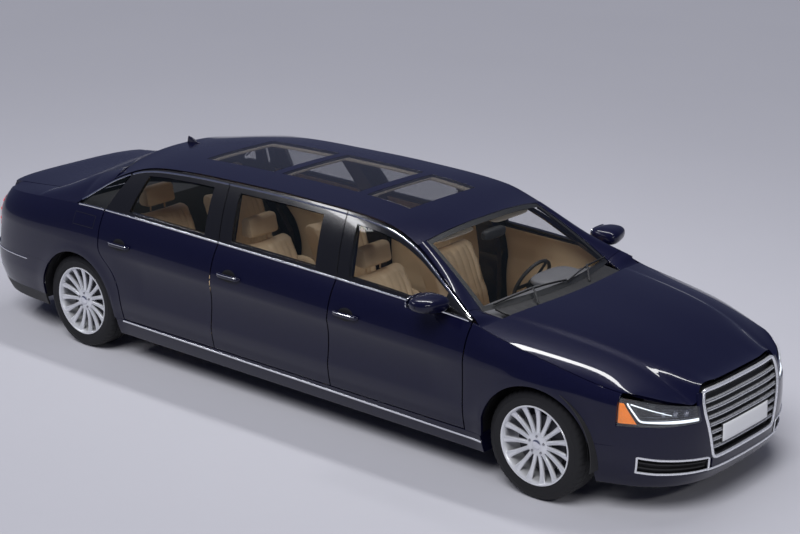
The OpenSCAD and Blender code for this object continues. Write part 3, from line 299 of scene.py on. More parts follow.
def sweep(path: Array, section: Array, up: Array, closed: bool = False, scale: Optional[Array] = None) -> Mesh:
    """Carries a closed section along a path: u runs across the path, v along the given up direction.

    Args:
        path: Points along the way.
        section: Points of u and v.
        up: Up direction at each point, or one for all.
        closed: True for a path that joins its own start.
        scale: Size of the section at each point, or None.

    Returns:
        Points and four-sided faces.
    """
    ahead = np.roll(path, -1, 0) - np.roll(path, 1, 0)
    if not closed:
        ahead[0], ahead[-1] = path[1] - path[0], path[-1] - path[-2]
    ahead /= np.linalg.norm(ahead, axis=1, keepdims=True)
    across = np.cross(ahead, np.broadcast_to(up, path.shape))
    across /= np.linalg.norm(across, axis=1, keepdims=True)
    upright = np.cross(across, ahead)
    size = np.ones(len(path)) if scale is None else scale
    u = section[None, :, 0, None] * size[:, None, None]
    v = section[None, :, 1, None] * size[:, None, None]
    return tube(path[:, None] + u * across[:, None] + v * upright[:, None], closed)


def lathe(profile: Array, steps: int, turn: Optional[Callable[[Array, Array], Array]] = None) -> Mesh:
    """Turns a closed profile of [radius, height] about the height axis.

    Args:
        profile: Loop of radius and height.
        steps: Steps around.
        turn: Change of the radius as a function of the angle and the profile's place, or None.

    Returns:
        Points with X and Z in the wheel's plane and Y along the axis.
    """
    a = np.linspace(0, 2 * np.pi, steps, endpoint=False)[:, None]
    r = np.broadcast_to(profile[None, :, 0], (steps, len(profile)))
    h = np.broadcast_to(profile[None, :, 1], (steps, len(profile)))
    if turn is not None:
        r = r + turn(a, np.arange(len(profile))[None])
    return tube(stack(r * np.cos(a), h, r * np.sin(a)), closed=True)


def place(mesh: Mesh, at: Sequence[float], turn: Optional[Array] = None) -> Mesh:
    """Turns a mesh by a matrix, then moves it."""
    points, faces = mesh
    return (points if turn is None else points @ turn.T) + np.array(at, float), faces


def turned(axis: str, degrees: float) -> Array:
    """Turning matrix about the X, Y or Z axis."""
    a = math.radians(degrees)
    c, s = math.cos(a), math.sin(a)
    rows = {"x": [[1, 0, 0], [0, c, -s], [0, s, c]], "y": [[c, 0, s], [0, 1, 0], [-s, 0, c]],
            "z": [[c, -s, 0], [s, c, 0], [0, 0, 1]]}
    return np.array(rows[axis])


def pillow(size: Sequence[float], power: float = 3.5, steps: int = 24) -> Mesh:
    """Closed rounded block: each ring of a box-like section shrinks towards both ends as a superellipse.

    Args:
        size: Whole sizes along X, Y and Z.
        power: Roundness; 2 is an ellipsoid.
        steps: Rings from end to end.

    Returns:
        Points and four-sided faces about the middle.
    """
    ring = loop_section(size[0], size[2], power, 2 * steps)
    t = np.sin(np.linspace(-np.pi / 2, np.pi / 2, steps + 1))[1:-1]
    k = fall(np.abs(t), power)
    rings = stack(ring[None, :, 0] * k[:, None], t[:, None] * size[1] / 2, ring[None, :, 1] * k[:, None])
    return tube(rings)


class Form:
    """The car's outer form in millimetres: +X to the front, +Y to the left, +Z up, as in the solids."""

    def __init__(self) -> None:
        """Sets the sizes and the lines that the panels are cut from."""
        self.nose_x, self.tail_x = 3182.5, -3182.5
        self.xf, self.xr = 2252.5, -1967.5
        self.half_w, self.roof_h = 974.5, 1500.0
        self.wheel_z, self.wheel_y, self.arch_r = 356.0, 812.0, 392.0
        self.gap, self.low_crease, self.sill_bottom, self.sill_top = 7.0, 495.0, 190.0, 322.0
        self.door_bottom, self.edge_in, self.edge_up = 330.0, 6.0, 8.0
        xf, xr, rh, hw = self.xf, self.xr, self.roof_h, self.half_w
        self.corner_front, self.corner_rear = xf - 750, xr + 470
        self.power_front, self.power_rear = 3.5, 6.0
        self.door_front = [xf - 532, xf - 532 - 1145, xf - 532 - 1145 - 1105]
        self.shoulder_z = Line([
            [self.tail_x, 1000], [xr - 830, 1040], [xr - 330, 1078], [xr + 80, 1098], [xr + 1470, 1080],
            [xf - 1650, 1058], [xf - 552, 1024], [xf - 450, 992], [xf - 200, 944], [xf + 150, 880],
            [xf + 530, 795], [self.nose_x, 760]], 35)
        self.crease_z = Line([
            [self.tail_x, 850], [xr - 500, 838], [xr + 470, 820], [xr + 1970, 802], [xf - 552, 779],
            [xf - 50, 780], [xf + 250, 766], [xf + 550, 722], [self.nose_x, 705]], 60)
        self.shoulder_in = Line([
            [self.tail_x, 110], [xr - 430, 105], [xr + 70, 98], [xf - 552, 98], [xf - 250, 85],
            [xf + 530, 45], [self.nose_x, 30]], 60)
        self.nose_back = Line([[150, 70], [250, 12], [400, 0], [600, 8], [760, 45], [830, 75]], 12)
        self.tail_back = Line(
            [[200, 95], [330, 30], [520, 0], [650, 8], [780, 45], [950, 75], [1060, 105]], 12)
        self.rail_z = Line([
            [xr - 50, 1106], [xr + 37, rh - 335], [xr + 250, rh - 190], [xr + 500, rh - 98], [xr + 900, rh - 56],
            [xr + 1370, rh - 42], [xr + 2070, rh - 38], [xf - 1450, rh - 72], [xf - 1157, rh - 165],
            [xf - 800, rh - 354], [xf - 552, 1036]], 24)
        self.rail_y = Line([
            [xr - 50, hw - 116], [xr + 37, hw - 149], [xr + 250, hw - 250], [xr + 500, hw - 314],
            [xr + 900, hw - 327], [xr + 2070, hw - 330], [xf - 1450, hw - 327], [xf - 1157, hw - 307],
            [xf - 800, hw - 207], [xf - 552, hw - 109]], 24)
        self.post_lean = Line([
            [xr - 50, 0], [xr + 250, 120], [xr + 700, 0], [xr + 1440, -100], [xf - 1675, -100],
            [xf - 1100, -60], [xf - 552, 0]], 20)
        self.roof_front, self.roof_rear = xf - 1157, xr + 215
        self.roof_mid = Line([
            [self.roof_rear - 60, rh - 74], [xr + 500, rh - 38], [xr + 1000, rh - 13], [xr + 1700, rh],
            [xf - 1850, rh - 8], [xf - 1450, rh - 42], [self.roof_front + 60, rh - 98]], 60)
        self.rear_edge = Line([
            [300, 490], [400, 487], [550, 467], [660, 420], [700, 385], [800, 280], [900, 262], [1098, 250]], 14)
        self.deck_mid = Line([
            [self.tail_x + 60, 1050], [self.tail_x + 130, 1062], [xr - 760, 1084], [xr - 520, 1106],
            [xr - 400, 1120]], 30)
        self.hood_fall = Line([[0, 1042], [0.25, 1012], [0.5, 970], [0.75, 910], [0.9, 860], [1, 800]], 0.03)
        self.hood_lip = Line(
            [[0, 808], [0.3, 807], [0.52, 800], [0.6, 704], [0.7, 716], [0.85, 742], [1, 790]], 0.018)
        self.fender_front, self.fender_low = xf + 530, 475.0
        self.quarter_rear, self.quarter_low, self.lamp_low = self.tail_x + 225, 607.0, 752.0
        self.lid_half, self.rear_low_x = 640.0, xr - 480
        self.grille_low, self.grille_high, self.lamp_bottom = 335.0, 783.0, 605.0
        self.grille_table = ([335, 640, 720, 783], [352, 428, 428, 404])
        self.screen_top, self.screen_low, self.screen_bow, self.roof_bow = 590, 690, 48, 36
        self.rear_top, self.rear_bow, self.roof_rear_bow, self.glass_bulge = 575, 56, 30, 72

    def nose_at(self, z: Array) -> Array:
        """Foremost X at a height."""
        return self.nose_x - self.nose_back(z)

    def tail_at(self, z: Array) -> Array:
        """Rearmost X at a height."""
        return self.tail_x + self.tail_back(z)

    def plan(self, x: Array, z: Array) -> Array:
        """Share of the full width at x: 1 along the sides, then a superellipse to the nose and the tail."""
        f = clamp((x - self.corner_front) / (self.nose_at(z) - self.corner_front))
        r = clamp((x - self.corner_rear) / (self.tail_at(z) - self.corner_rear))
        return fall(f, self.power_front) * fall(r, self.power_rear)

    def raw_inset(self, x: Array, z: Array) -> Array:
        """Distance inside the widest line: rounds in to the shoulder above the upper crease, hollow as a half sine
        between the creases, and tucks under below the lower crease."""
        zt, zu = self.crease_z(x), self.shoulder_z(x)
        s = clamp((z - zt) / (zu - zt), 0, 1.2)
        high = self.shoulder_in(x) * (0.2 * s + 0.8 * s**2.2)
        t = clamp((zt - z) / (zt - self.low_crease))
        deep = 16 * clamp((self.xf - 500 - x) / 300) * clamp((x - self.xr - 420) / 300)
        middle = deep * np.sin(np.pi * t**0.8) + 4 * t
        low = 4 + 71 * clamp((self.low_crease - z) / (self.low_crease - self.sill_bottom), 0, 2) ** 1.6
        return np.where(z >= zt, high, np.where(z >= self.low_crease, middle, low))

    def inset(self, x: Array, z: Array) -> Array:
        """The inset with its creases eased over a few millimetres of height."""
        taps = ((-7, 1), (-3.5, 4), (0, 6), (3.5, 4), (7, 1))
        return sum(w * self.raw_inset(x, z + d) for d, w in taps) / 16

    def flare(self, x: Array, z: Array) -> Array:
        """Wheel arches stand 10 mm proud, fading as a Gaussian of the distance from the arch."""
        xa = np.where(x > 0, self.xf, self.xr)
        r = np.hypot(x - xa, z - self.wheel_z)
        return 10 * np.exp(-(((r - self.arch_r) / 60) ** 2))

    def side_y(self, x: Array, z: Array) -> Array:
        """Outer face of the left side."""
        return (self.half_w - self.inset(x, z)) * self.plan(x, z) + self.flare(x, z)

    def side(self, x: Array, z: Array, t: Array | float = 0.0) -> Array:
        """Point on the left side, t inside its outer face."""
        return stack(x, self.side_y(x, z) - t, z)

    def upper(self, xb: Array, s: Array, t: Array | float = 0.0) -> Array:
        """Point on the side windows' face: s runs from the belt (0) to the roof edge (1), bulged as a parabola."""
        xt = xb + self.post_lean(xb)
        zb = self.shoulder_z(xb)
        y = mix(self.side_y(xb, zb), self.rail_y(xt), s) + self.glass_bulge * s * (1 - s)
        return stack(mix(xb, xt, s), y - t, mix(zb, self.rail_z(xt), s))

    def roof_z(self, x: Array, y: Array) -> Array:
        """Roof height: the crown falls to the edge with the power 2.6 of the distance from the middle."""
        zm, ye, ze = self.roof_mid(x), self.rail_y(x), self.rail_z(x) + self.edge_up
        return zm - (zm - ze) * clamp(np.abs(y) / ye, 0, 1.05) ** 2.6

    def screen(self, c: Array, t: Array, d: Array | float = 0.0) -> Array:
        """Windscreen: c from the left edge (1) to the right (-1), t from the bottom to the top, d inside."""
        c, t = np.broadcast_arrays(c, t)
        across = self.screen_top * c
        share = across / (self.rail_y(self.roof_front) - self.edge_in)
        hx = self.roof_front + self.roof_bow * (1 - share * share)
        low = stack(self.xf - 462 - 140 * c * c, self.screen_low * c, 1046 - 18 * c * c)
        top = stack(hx + 4, across, self.roof_z(hx, across) - 1)
        lift = self.screen_bow * t * (1 - t) - d
        return mix(low, top, t[..., None]) + lift[..., None] * np.array([0.5, 0, 0.866])

    def rear_screen(self, c: Array, t: Array, d: Array | float = 0.0) -> Array:
        """Rear window: c across, t from the top to the bottom, d inside."""
        c, t = np.broadcast_arrays(c, t)
        across = self.rear_top * c
        share = across / (self.rail_y(self.roof_rear) - self.edge_in)
        bx = self.roof_rear - self.roof_rear_bow * (1 - share * share)
        top = stack(bx - 3.6, across, self.roof_z(bx, across) - 1)
        lx, w = self.rear_low_x - 36 * (1 - c * c), self.lid_half + self.gap - 0.4
        low = stack(lx, w * c, self.deck_z(lx, w * c) + 2)
        lift = self.rear_bow * t * (1 - t) - d
        return mix(top, low, t[..., None]) + lift[..., None] * np.array([-0.45, 0, 0.893])

    def deck_z(self, x: Array, y: Array) -> Array:
        """Boot deck height: the crown falls to the shoulder with the cube of the distance from the middle."""
        zm, zs = self.deck_mid(x), self.shoulder_z(x)
        return zm - (zm - zs) * (np.abs(y) / (self.half_w - 105)) ** 3

    def pillar(self, t: Array, u: Array, d: float = 0.0) -> Array:
        """Windscreen pillar: t up its length, u from the door frame to the glass, d inside."""
        t, u = np.broadcast_arrays(t, u)
        xo = mix(self.xf - 600, self.roof_front + 6.5, t)
        o = stack(xo, self.rail_y(xo) - self.edge_in - 4, self.rail_z(xo) + self.edge_up + 3)
        p = mix(o, self.screen(np.ones_like(t), t) + np.array([0, 0.8, 0]), u[..., None])
        return p + stack(0 * u, 0 * u, 40 * u * (1 - u) - d)

    def rear_pillar(self, t: Array, u: Array, d: float = 0.0) -> Array:
        """Rear pillar (t 0 to 1) and the deck beside the boot lid (t 1 to 2); u from the outside to the inside."""
        t, u = np.broadcast_arrays(t, u)
        xo = np.where(t <= 1, mix(self.roof_rear - 4.5, self.rear_low_x - 20, clamp(t)),
                      mix(self.rear_low_x - 20, self.quarter_rear, clamp(t - 1)))
        zs = self.shoulder_z(xo)
        rail = ease((xo - (self.xr - 70)) / 60)
        y = mix(self.side_y(xo, zs) - 0.2, self.rail_y(xo) - self.edge_in, rail)
        o = stack(xo, y, mix(zs + 0.4, self.rail_z(xo) + self.edge_up, rail))
        edge = self.lid_half + self.gap
        glass = self.rear_screen(np.ones_like(t), clamp(t)) + np.array([0, 0.4, 0])
        deck = stack(xo, edge + 0 * t, self.deck_z(xo, edge))
        i = np.where((t <= 1)[..., None], glass, deck)
        p = mix(o, i, u[..., None])
        swell = np.where(t <= 1, 16, 6) * 4 * u * (1 - u) * np.minimum(1, 2 - t)
        return p + stack(0 * u, 0 * u, swell - d)

    def front_x(self, y: Array, z: Array, b: Array) -> Array:
        """X of the nose at a distance y from the middle, for a half width b."""
        k = clamp(np.abs(y) / b)
        return self.corner_front + (self.nose_at(z) - self.corner_front) * fall(k, self.power_front)

    def rear_x(self, y: Array, z: Array, b: Array) -> Array:
        """X of the tail at a distance y from the middle, for a half width b."""
        k = clamp(np.abs(y) / b)
        return self.corner_rear + (self.tail_at(z) - self.corner_rear) * fall(k, self.power_rear)

    def front_at(self, y: Array, z: Array, d: Array | float = 0.0) -> Array:
        """Point on the nose, d behind its face."""
        b = self.half_w - self.inset(self.fender_front + 0 * z, z)
        return stack(self.front_x(y, z, b) - d, y, z)

    def rear_at(self, y: Array, z: Array, d: Array | float = 0.0) -> Array:
        """Point on the tail, d ahead of its face."""
        b = self.half_w - self.inset(self.quarter_rear + 0 * z, z)
        return stack(self.rear_x(y, z, b) + d, y, z)

    def grille_w(self, z: Array) -> Array:
        """Half width of the grille at a height."""
        return np.interp(z, *self.grille_table)

    def shut_y(self, x: Array) -> Array:
        """Y of the shoulder line."""
        return self.side_y(x, self.shoulder_z(x))

    def side_row(self, x: Array, v: Array, z0: Array | float) -> Array:
        """Height of row v on the side: 0 bottom, 0.4 lower crease, 1 upper crease, 2 belt."""
        zt = self.crease_z(x)
        low = np.maximum(self.low_crease, mix(z0, zt, 0.3))
        return np.where(v <= 0.4, mix(z0, low, v / 0.4), np.where(
            v <= 1, mix(low, zt, (v - 0.4) / 0.6), mix(zt, self.shoulder_z(x), v - 1)))

    def wing_row(self, x: Array, z0: Array, v: Array) -> Array:
        """Height of row v on a fender or quarter: 0 bottom, 1 upper crease, 2 shoulder."""
        zt = self.crease_z(x)
        return np.where(v <= 1, mix(z0, zt, v), mix(zt, self.shoulder_z(x), v - 1))


FORM = Form()


class Grain(Enum):
    """Kinds of fine relief that a finish can have."""

    NONE = "none"
    NOISE = "noise"
    LEATHER = "leather"
    FLAKES = "flakes"
    BRUSHED = "brushed"
    WEAVE = "weave"


def math_node(
    tree: bpy.types.NodeTree, operation: str, *values: bpy.types.NodeSocket | float
) -> bpy.types.NodeSocket:
    """Adds a sum to a node tree.

    Args:
        tree: Tree that the node goes into.
        operation: Kind of sum.
        values: Sockets to link or numbers to set, in the order of the inputs.

    Returns:
        The result's socket.
    """
    node = tree.nodes.new("ShaderNodeMath")
    node.operation = operation
    for held, value in zip(node.inputs, values):
        if isinstance(value, bpy.types.NodeSocket):
            tree.links.new(value, held)
        else:
            held.default_value = value
    return node.outputs[0]


def variation_group() -> bpy.types.NodeTree:
    """Shared shader group: two scales of noise shift a colour and a roughness over the surface.

    Returns:
        The group, built once.
    """
    name = "surface_variation"
    if name in bpy.data.node_groups:
        return bpy.data.node_groups[name]
    group = bpy.data.node_groups.new(name, "ShaderNodeTree")
    face = group.interface
    for label, kind, value in (
        ("Color", "NodeSocketColor", (0.5, 0.5, 0.5, 1)), ("Spread", "NodeSocketFloat", 0.1),
        ("Scale", "NodeSocketFloat", 8.0), ("Roughness", "NodeSocketFloat", 0.4),
        ("Roughness Spread", "NodeSocketFloat", 0.1),
    ):
        face.new_socket(label, in_out="INPUT", socket_type=kind).default_value = value
    for label, kind in (("Color", "NodeSocketColor"), ("Roughness", "NodeSocketFloat")):
        face.new_socket(label, in_out="OUTPUT", socket_type=kind)
    nodes, links = group.nodes, group.links
    into, out = nodes.new("NodeGroupInput"), nodes.new("NodeGroupOutput")
    where = nodes.new("ShaderNodeTexCoord")
    broad, fine = nodes.new("ShaderNodeTexNoise"), nodes.new("ShaderNodeTexNoise")
    fine.inputs["Detail"].default_value = 6
    links.new(into.outputs["Scale"], broad.inputs["Scale"])
    links.new(math_node(group, "MULTIPLY", into.outputs["Scale"], 14), fine.inputs["Scale"])
    for noise in (broad, fine):
        links.new(where.outputs["Object"], noise.inputs["Vector"])
    both_scales = math_node(group, "ADD", broad.outputs["Fac"], fine.outputs["Fac"])
    centred = math_node(group, "SUBTRACT", both_scales, 1.0)
    shift = math_node(group, "MULTIPLY_ADD", centred, into.outputs["Spread"], 1.0)
    tint = nodes.new("ShaderNodeVectorMath")
    tint.operation = "SCALE"
    links.new(into.outputs["Color"], tint.inputs[0])
    links.new(shift, tint.inputs["Scale"])
    links.new(tint.outputs[0], out.inputs["Color"])
    rough = math_node(group, "MULTIPLY_ADD", centred, into.outputs["Roughness Spread"], into.outputs["Roughness"])
    rough.node.use_clamp = True
    links.new(rough, out.inputs["Roughness"])
    return group


@dataclass(frozen=True)
class Finish:
    """A finish of the car: its colour, gloss, fine relief and a slot name, which is not used."""

    name: str
    slot: str
    color: tuple[float, float, float]
    roughness: float = 0.4
    metallic: float = 0.0
    coat: float = 0.0
    coat_roughness: float = 0.03
    coat_ior: float = 1.5
    alpha: float = 1.0
    ior: float = 1.5
    sheen: float = 0.0
    glow: float = 0.0
    spread: float = 0.12
    rough_spread: float = 0.08
    scale: float = 8.0
    grain: Grain = Grain.NONE
    grain_scale: float = 400.0
    relief: float = 0.15

    def relief_height(self, tree: bpy.types.NodeTree) -> Optional[bpy.types.NodeSocket]:
        """Fine relief of the finish as a height.

        Args:
            tree: The material's node tree.

        Returns:
            The height's socket, or None for a smooth finish.
        """
        nodes, links = tree.nodes, tree.links
        if self.grain is Grain.NONE:
            return None
        where = nodes.new("ShaderNodeTexCoord")
        if self.grain in (Grain.LEATHER, Grain.FLAKES):
            cells = nodes.new("ShaderNodeTexVoronoi")
            cells.feature = "DISTANCE_TO_EDGE" if self.grain is Grain.LEATHER else "F1"
            cells.inputs["Scale"].default_value = self.grain_scale
            links.new(where.outputs["Object"], cells.inputs["Vector"])
            return cells.outputs["Distance"]
        if self.grain is Grain.WEAVE:
            wave = nodes.new("ShaderNodeTexWave")
            wave.inputs["Scale"].default_value = self.grain_scale
            wave.inputs["Distortion"].default_value = 3
            links.new(where.outputs["Object"], wave.inputs["Vector"])
            return wave.outputs["Fac"]
        noise = nodes.new("ShaderNodeTexNoise")
        noise.inputs["Scale"].default_value = self.grain_scale
        noise.inputs["Detail"].default_value = 4
        if self.grain is Grain.BRUSHED:
            mapping = nodes.new("ShaderNodeMapping")
            mapping.inputs["Scale"].default_value = (0.05, 1, 1)
            links.new(where.outputs["Object"], mapping.inputs["Vector"])
            links.new(mapping.outputs["Vector"], noise.inputs["Vector"])
        else:
            links.new(where.outputs["Object"], noise.inputs["Vector"])
        return noise.outputs["Fac"]

    def material(self) -> bpy.types.Material:
        """The finish as a material, built once.

        Returns:
            A node material with one Principled shader.
        """
        if self.name in bpy.data.materials:
            return bpy.data.materials[self.name]
        made = bpy.data.materials.new(self.name)
        made.use_nodes = True
        tree = made.node_tree
        shader = tree.nodes["Principled BSDF"]
        vary = tree.nodes.new("ShaderNodeGroup")
        vary.node_tree = variation_group()
        for label, value in (
            ("Color", (*self.color, 1)), ("Spread", self.spread), ("Scale", self.scale),
            ("Roughness", self.roughness), ("Roughness Spread", self.rough_spread),
        ):
            vary.inputs[label].default_value = value
        tree.links.new(vary.outputs["Color"], shader.inputs["Base Color"])
        tree.links.new(vary.outputs["Roughness"], shader.inputs["Roughness"])
        for label, value in (
            ("Metallic", self.metallic), ("Coat Weight", self.coat), ("Coat Roughness", self.coat_roughness),
            ("Coat IOR", self.coat_ior), ("Alpha", self.alpha), ("IOR", self.ior), ("Sheen Weight", self.sheen),
            ("Emission Strength", self.glow),
        ):
            shader.inputs[label].default_value = value
        shader.inputs["Emission Color"].default_value = (*self.color, 1)
        height = self.relief_height(tree)
        if height is not None:
            bump = tree.nodes.new("ShaderNodeBump")
            bump.inputs["Strength"].default_value = self.relief
            bump.inputs["Distance"].default_value = BUMP_DISTANCE
            tree.links.new(height, bump.inputs["Height"])
            tree.links.new(bump.outputs["Normal"], shader.inputs["Normal"])
        return made


PAINT = Finish("midnight_metallic_paint", "paint", (0.0032, 0.0034, 0.0185), 0.34, 0.15, 1.0, 0.02, 1.4, ior=1.2,
               spread=0.25, rough_spread=0.05, scale=40, grain=Grain.FLAKES, grain_scale=1800, relief=0.05)
GLOSS_BLACK = Finish("gloss_black", "black_plastic", (0.006, 0.006, 0.007), 0.16, coat=0.45, spread=0.1,
                     rough_spread=0.03)
SATIN_BLACK = Finish("moulded_black", "black_plastic", (0.018, 0.018, 0.019), 0.55, spread=0.2, grain=Grain.NOISE,
                     grain_scale=700, relief=0.35)
# Near-black for painted shade: the handle dishes, the inner grille rim, the exhaust bores and the fuel flap's seam
# stand in for the shade of recesses and gaps; the walls behind the grille and intakes are real black plastic darkened
# further as painted shade.
PAINTED_SHADE_BLACK = Finish("shadow_black", "black_plastic", (0.006, 0.006, 0.007), 0.6, grain=Grain.NOISE, grain_scale=300)
SATIN_CHROME = Finish("satin_chrome", "chrome", (0.84, 0.85, 0.88), 0.27, 0.72, spread=0.04, rough_spread=0.05,
                      scale=20)
CHROME = Finish("bright_chrome", "chrome", (0.86, 0.87, 0.9), 0.12, 1.0, spread=0.04, rough_spread=0.05, scale=20)
ALLOY = Finish("silver_alloy", "alloy", (0.76, 0.77, 0.8), 0.36, 0.6, 0.5, 0.08, spread=0.06, rough_spread=0.06,
               scale=30, grain=Grain.FLAKES, grain_scale=1600, relief=0.05)
STEEL = Finish("machined_steel", "steel", (0.36, 0.36, 0.38), 0.38, 0.95, spread=0.15, grain=Grain.BRUSHED,
               grain_scale=300)
CAST = Finish("dark_casting", "steel", (0.09, 0.09, 0.1), 0.6, 0.6, spread=0.25, grain=Grain.NOISE, grain_scale=260)
GLASS = Finish("clear_window_glass", "window_glass", (0.012, 0.016, 0.016), 0.02, coat=1.0, coat_roughness=0.0,
               alpha=0.1, ior=1.6, spread=0.05, rough_spread=0.01)
ROOF_GLASS = Finish("tinted_roof_glass", "roof_glass", (0.012, 0.013, 0.016), 0.03, coat=1.0, coat_roughness=0.0,
                    alpha=0.45, ior=1.5, spread=0.08, rough_spread=0.01)
LENS = Finish("lamp_lens", "lamp_clear", (0.2, 0.21, 0.23), 0.03, coat=1.0, coat_roughness=0.0, alpha=0.12, ior=1.6,
              spread=0.03, rough_spread=0.01)
LAMP_SILVER = Finish("lamp_reflector", "chrome", (0.7, 0.72, 0.76), 0.16, 1.0, spread=0.05)
LAMP_LIGHT = Finish("light_guide", "lamp_clear", (0.86, 0.93, 1.0), 0.25, glow=0.9, spread=0.03)
AMBER = Finish("amber_lens", "lamp_clear", (0.9, 0.22, 0.0), 0.3, coat=0.4, glow=0.25, spread=0.6, scale=9)
RED_LENS = Finish("red_lens", "lamp_red", (0.33, 0.004, 0.006), 0.1, coat=1.0, glow=0.06, spread=0.12, scale=25)
RED_BAR = Finish("red_light_guide", "lamp_red", (0.75, 0.02, 0.02), 0.25, glow=0.3, spread=0.05)
RUBBER = Finish("tyre_rubber", "tyre", (0.01, 0.01, 0.011), 0.72, spread=0.3, rough_spread=0.12, scale=14,
                grain=Grain.NOISE, grain_scale=900, relief=0.3)
LEATHER = Finish("beige_leather", "leather", (0.8, 0.62, 0.41), 0.46, coat=0.08, coat_roughness=0.35, spread=0.12,
                 scale=7, grain=Grain.LEATHER, grain_scale=520, relief=0.3)
PIPING = Finish("dark_piping", "leather", (0.2, 0.13, 0.075), 0.5, spread=0.15, grain=Grain.LEATHER)
CARPET = Finish("beige_carpet", "leather", (0.5, 0.39, 0.26), 0.95, sheen=0.3, spread=0.25, scale=30,
                grain=Grain.NOISE, grain_scale=1200, relief=0.8)
LINING = Finish("headliner_cloth", "leather", (0.8, 0.7, 0.55), 0.9, sheen=0.3, spread=0.08, grain=Grain.WEAVE,
                grain_scale=500, relief=0.25)
GREY_DASH = Finish("grey_dash_top", "black_plastic", (0.13, 0.13, 0.14), 0.6, spread=0.12, grain=Grain.LEATHER,
                   grain_scale=600, relief=0.3)
PLATE = Finish("blank_plate", "paint", (0.72, 0.73, 0.74), 0.35, coat=0.3, spread=0.04)
FLOOR = Finish("pale_floor", "paint", (0.42, 0.42, 0.46), 0.7, spread=0.02, scale=0.6)


def fill(mesh: bpy.types.Mesh, points: Array, faces: Array) -> None:
    """Puts points in millimetres and four-sided faces into a mesh; a face with a doubled corner becomes a triangle.

    Args:
        mesh: Empty mesh.
        points: Points in millimetres.
        faces: Four point numbers a face.
    """
    rounded = np.round(points * MM, 7)
    merged, back = np.unique(rounded, axis=0, return_inverse=True)
    faces = back.reshape(-1)[faces]
    same = faces == np.roll(faces, -1, axis=1)
    quads, tris = faces[same.sum(1) == 0], faces[same.sum(1) == 1]
    drop = np.argmax(same[same.sum(1) == 1], axis=1) if len(tris) else np.zeros(0, int)
    if len(tris):
        kept = np.ones(tris.shape, bool)
        kept[np.arange(len(tris)), drop] = False
        tris = tris[kept].reshape(-1, 3)
    flat = np.concatenate([quads.ravel(), tris.ravel()]).astype(np.int32)
    sizes = np.concatenate([np.full(len(quads), 4), np.full(len(tris), 3)])
    starts = np.concatenate([[0], np.cumsum(sizes)[:-1]]).astype(np.int32)
    mesh.vertices.add(len(merged))
    mesh.vertices.foreach_set("co", merged.ravel())
    mesh.loops.add(len(flat))
    mesh.loops.foreach_set("vertex_index", flat)
    mesh.polygons.add(len(sizes))
    mesh.polygons.foreach_set("loop_start", starts)
    mesh.polygons.foreach_set("use_smooth", np.ones(len(sizes), bool))
    mesh.update(calc_edges=True)
    mesh.validate()


def publish(
    name: str, mesh: Mesh, finish: Finish, body: str, replaces: Sequence[str] = (), bevel: float = 0.0
) -> bpy.types.Object:
    """Makes a piece of the car from a mesh and lets it ride on a body.

    Args:
        name: Piece name.
        mesh: Points in millimetres and faces.
        finish: Finish of the whole piece.
        body: Body that it moves with.
        replaces: Solids' nodes that it stands for.
        bevel: Width of a rounded edge in millimetres, or 0.

    Returns:
        The new object.
    """
    data = bpy.data.meshes.new(name)
    fill(data, *mesh)
    data.set_sharp_from_angle(angle=SHARP_ANGLE)
    piece = bpy.data.objects.new(name, data)
    bpy.context.scene.collection.objects.link(piece)
    data.materials.append(finish.material())
    if bevel:
        rounding = piece.modifiers.new("rounded_edges", "BEVEL")
        rounding.width, rounding.segments, rounding.limit_method = bevel * MM, 2, "ANGLE"
        rounding.angle_limit, rounding.harden_normals = BEVEL_ANGLE, True
    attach(piece, body)
    if replaces:
        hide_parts(*replaces)
    LOG.info("piece %s on %s: %d faces, %s", name, body, len(data.polygons), finish.name)
    return piece


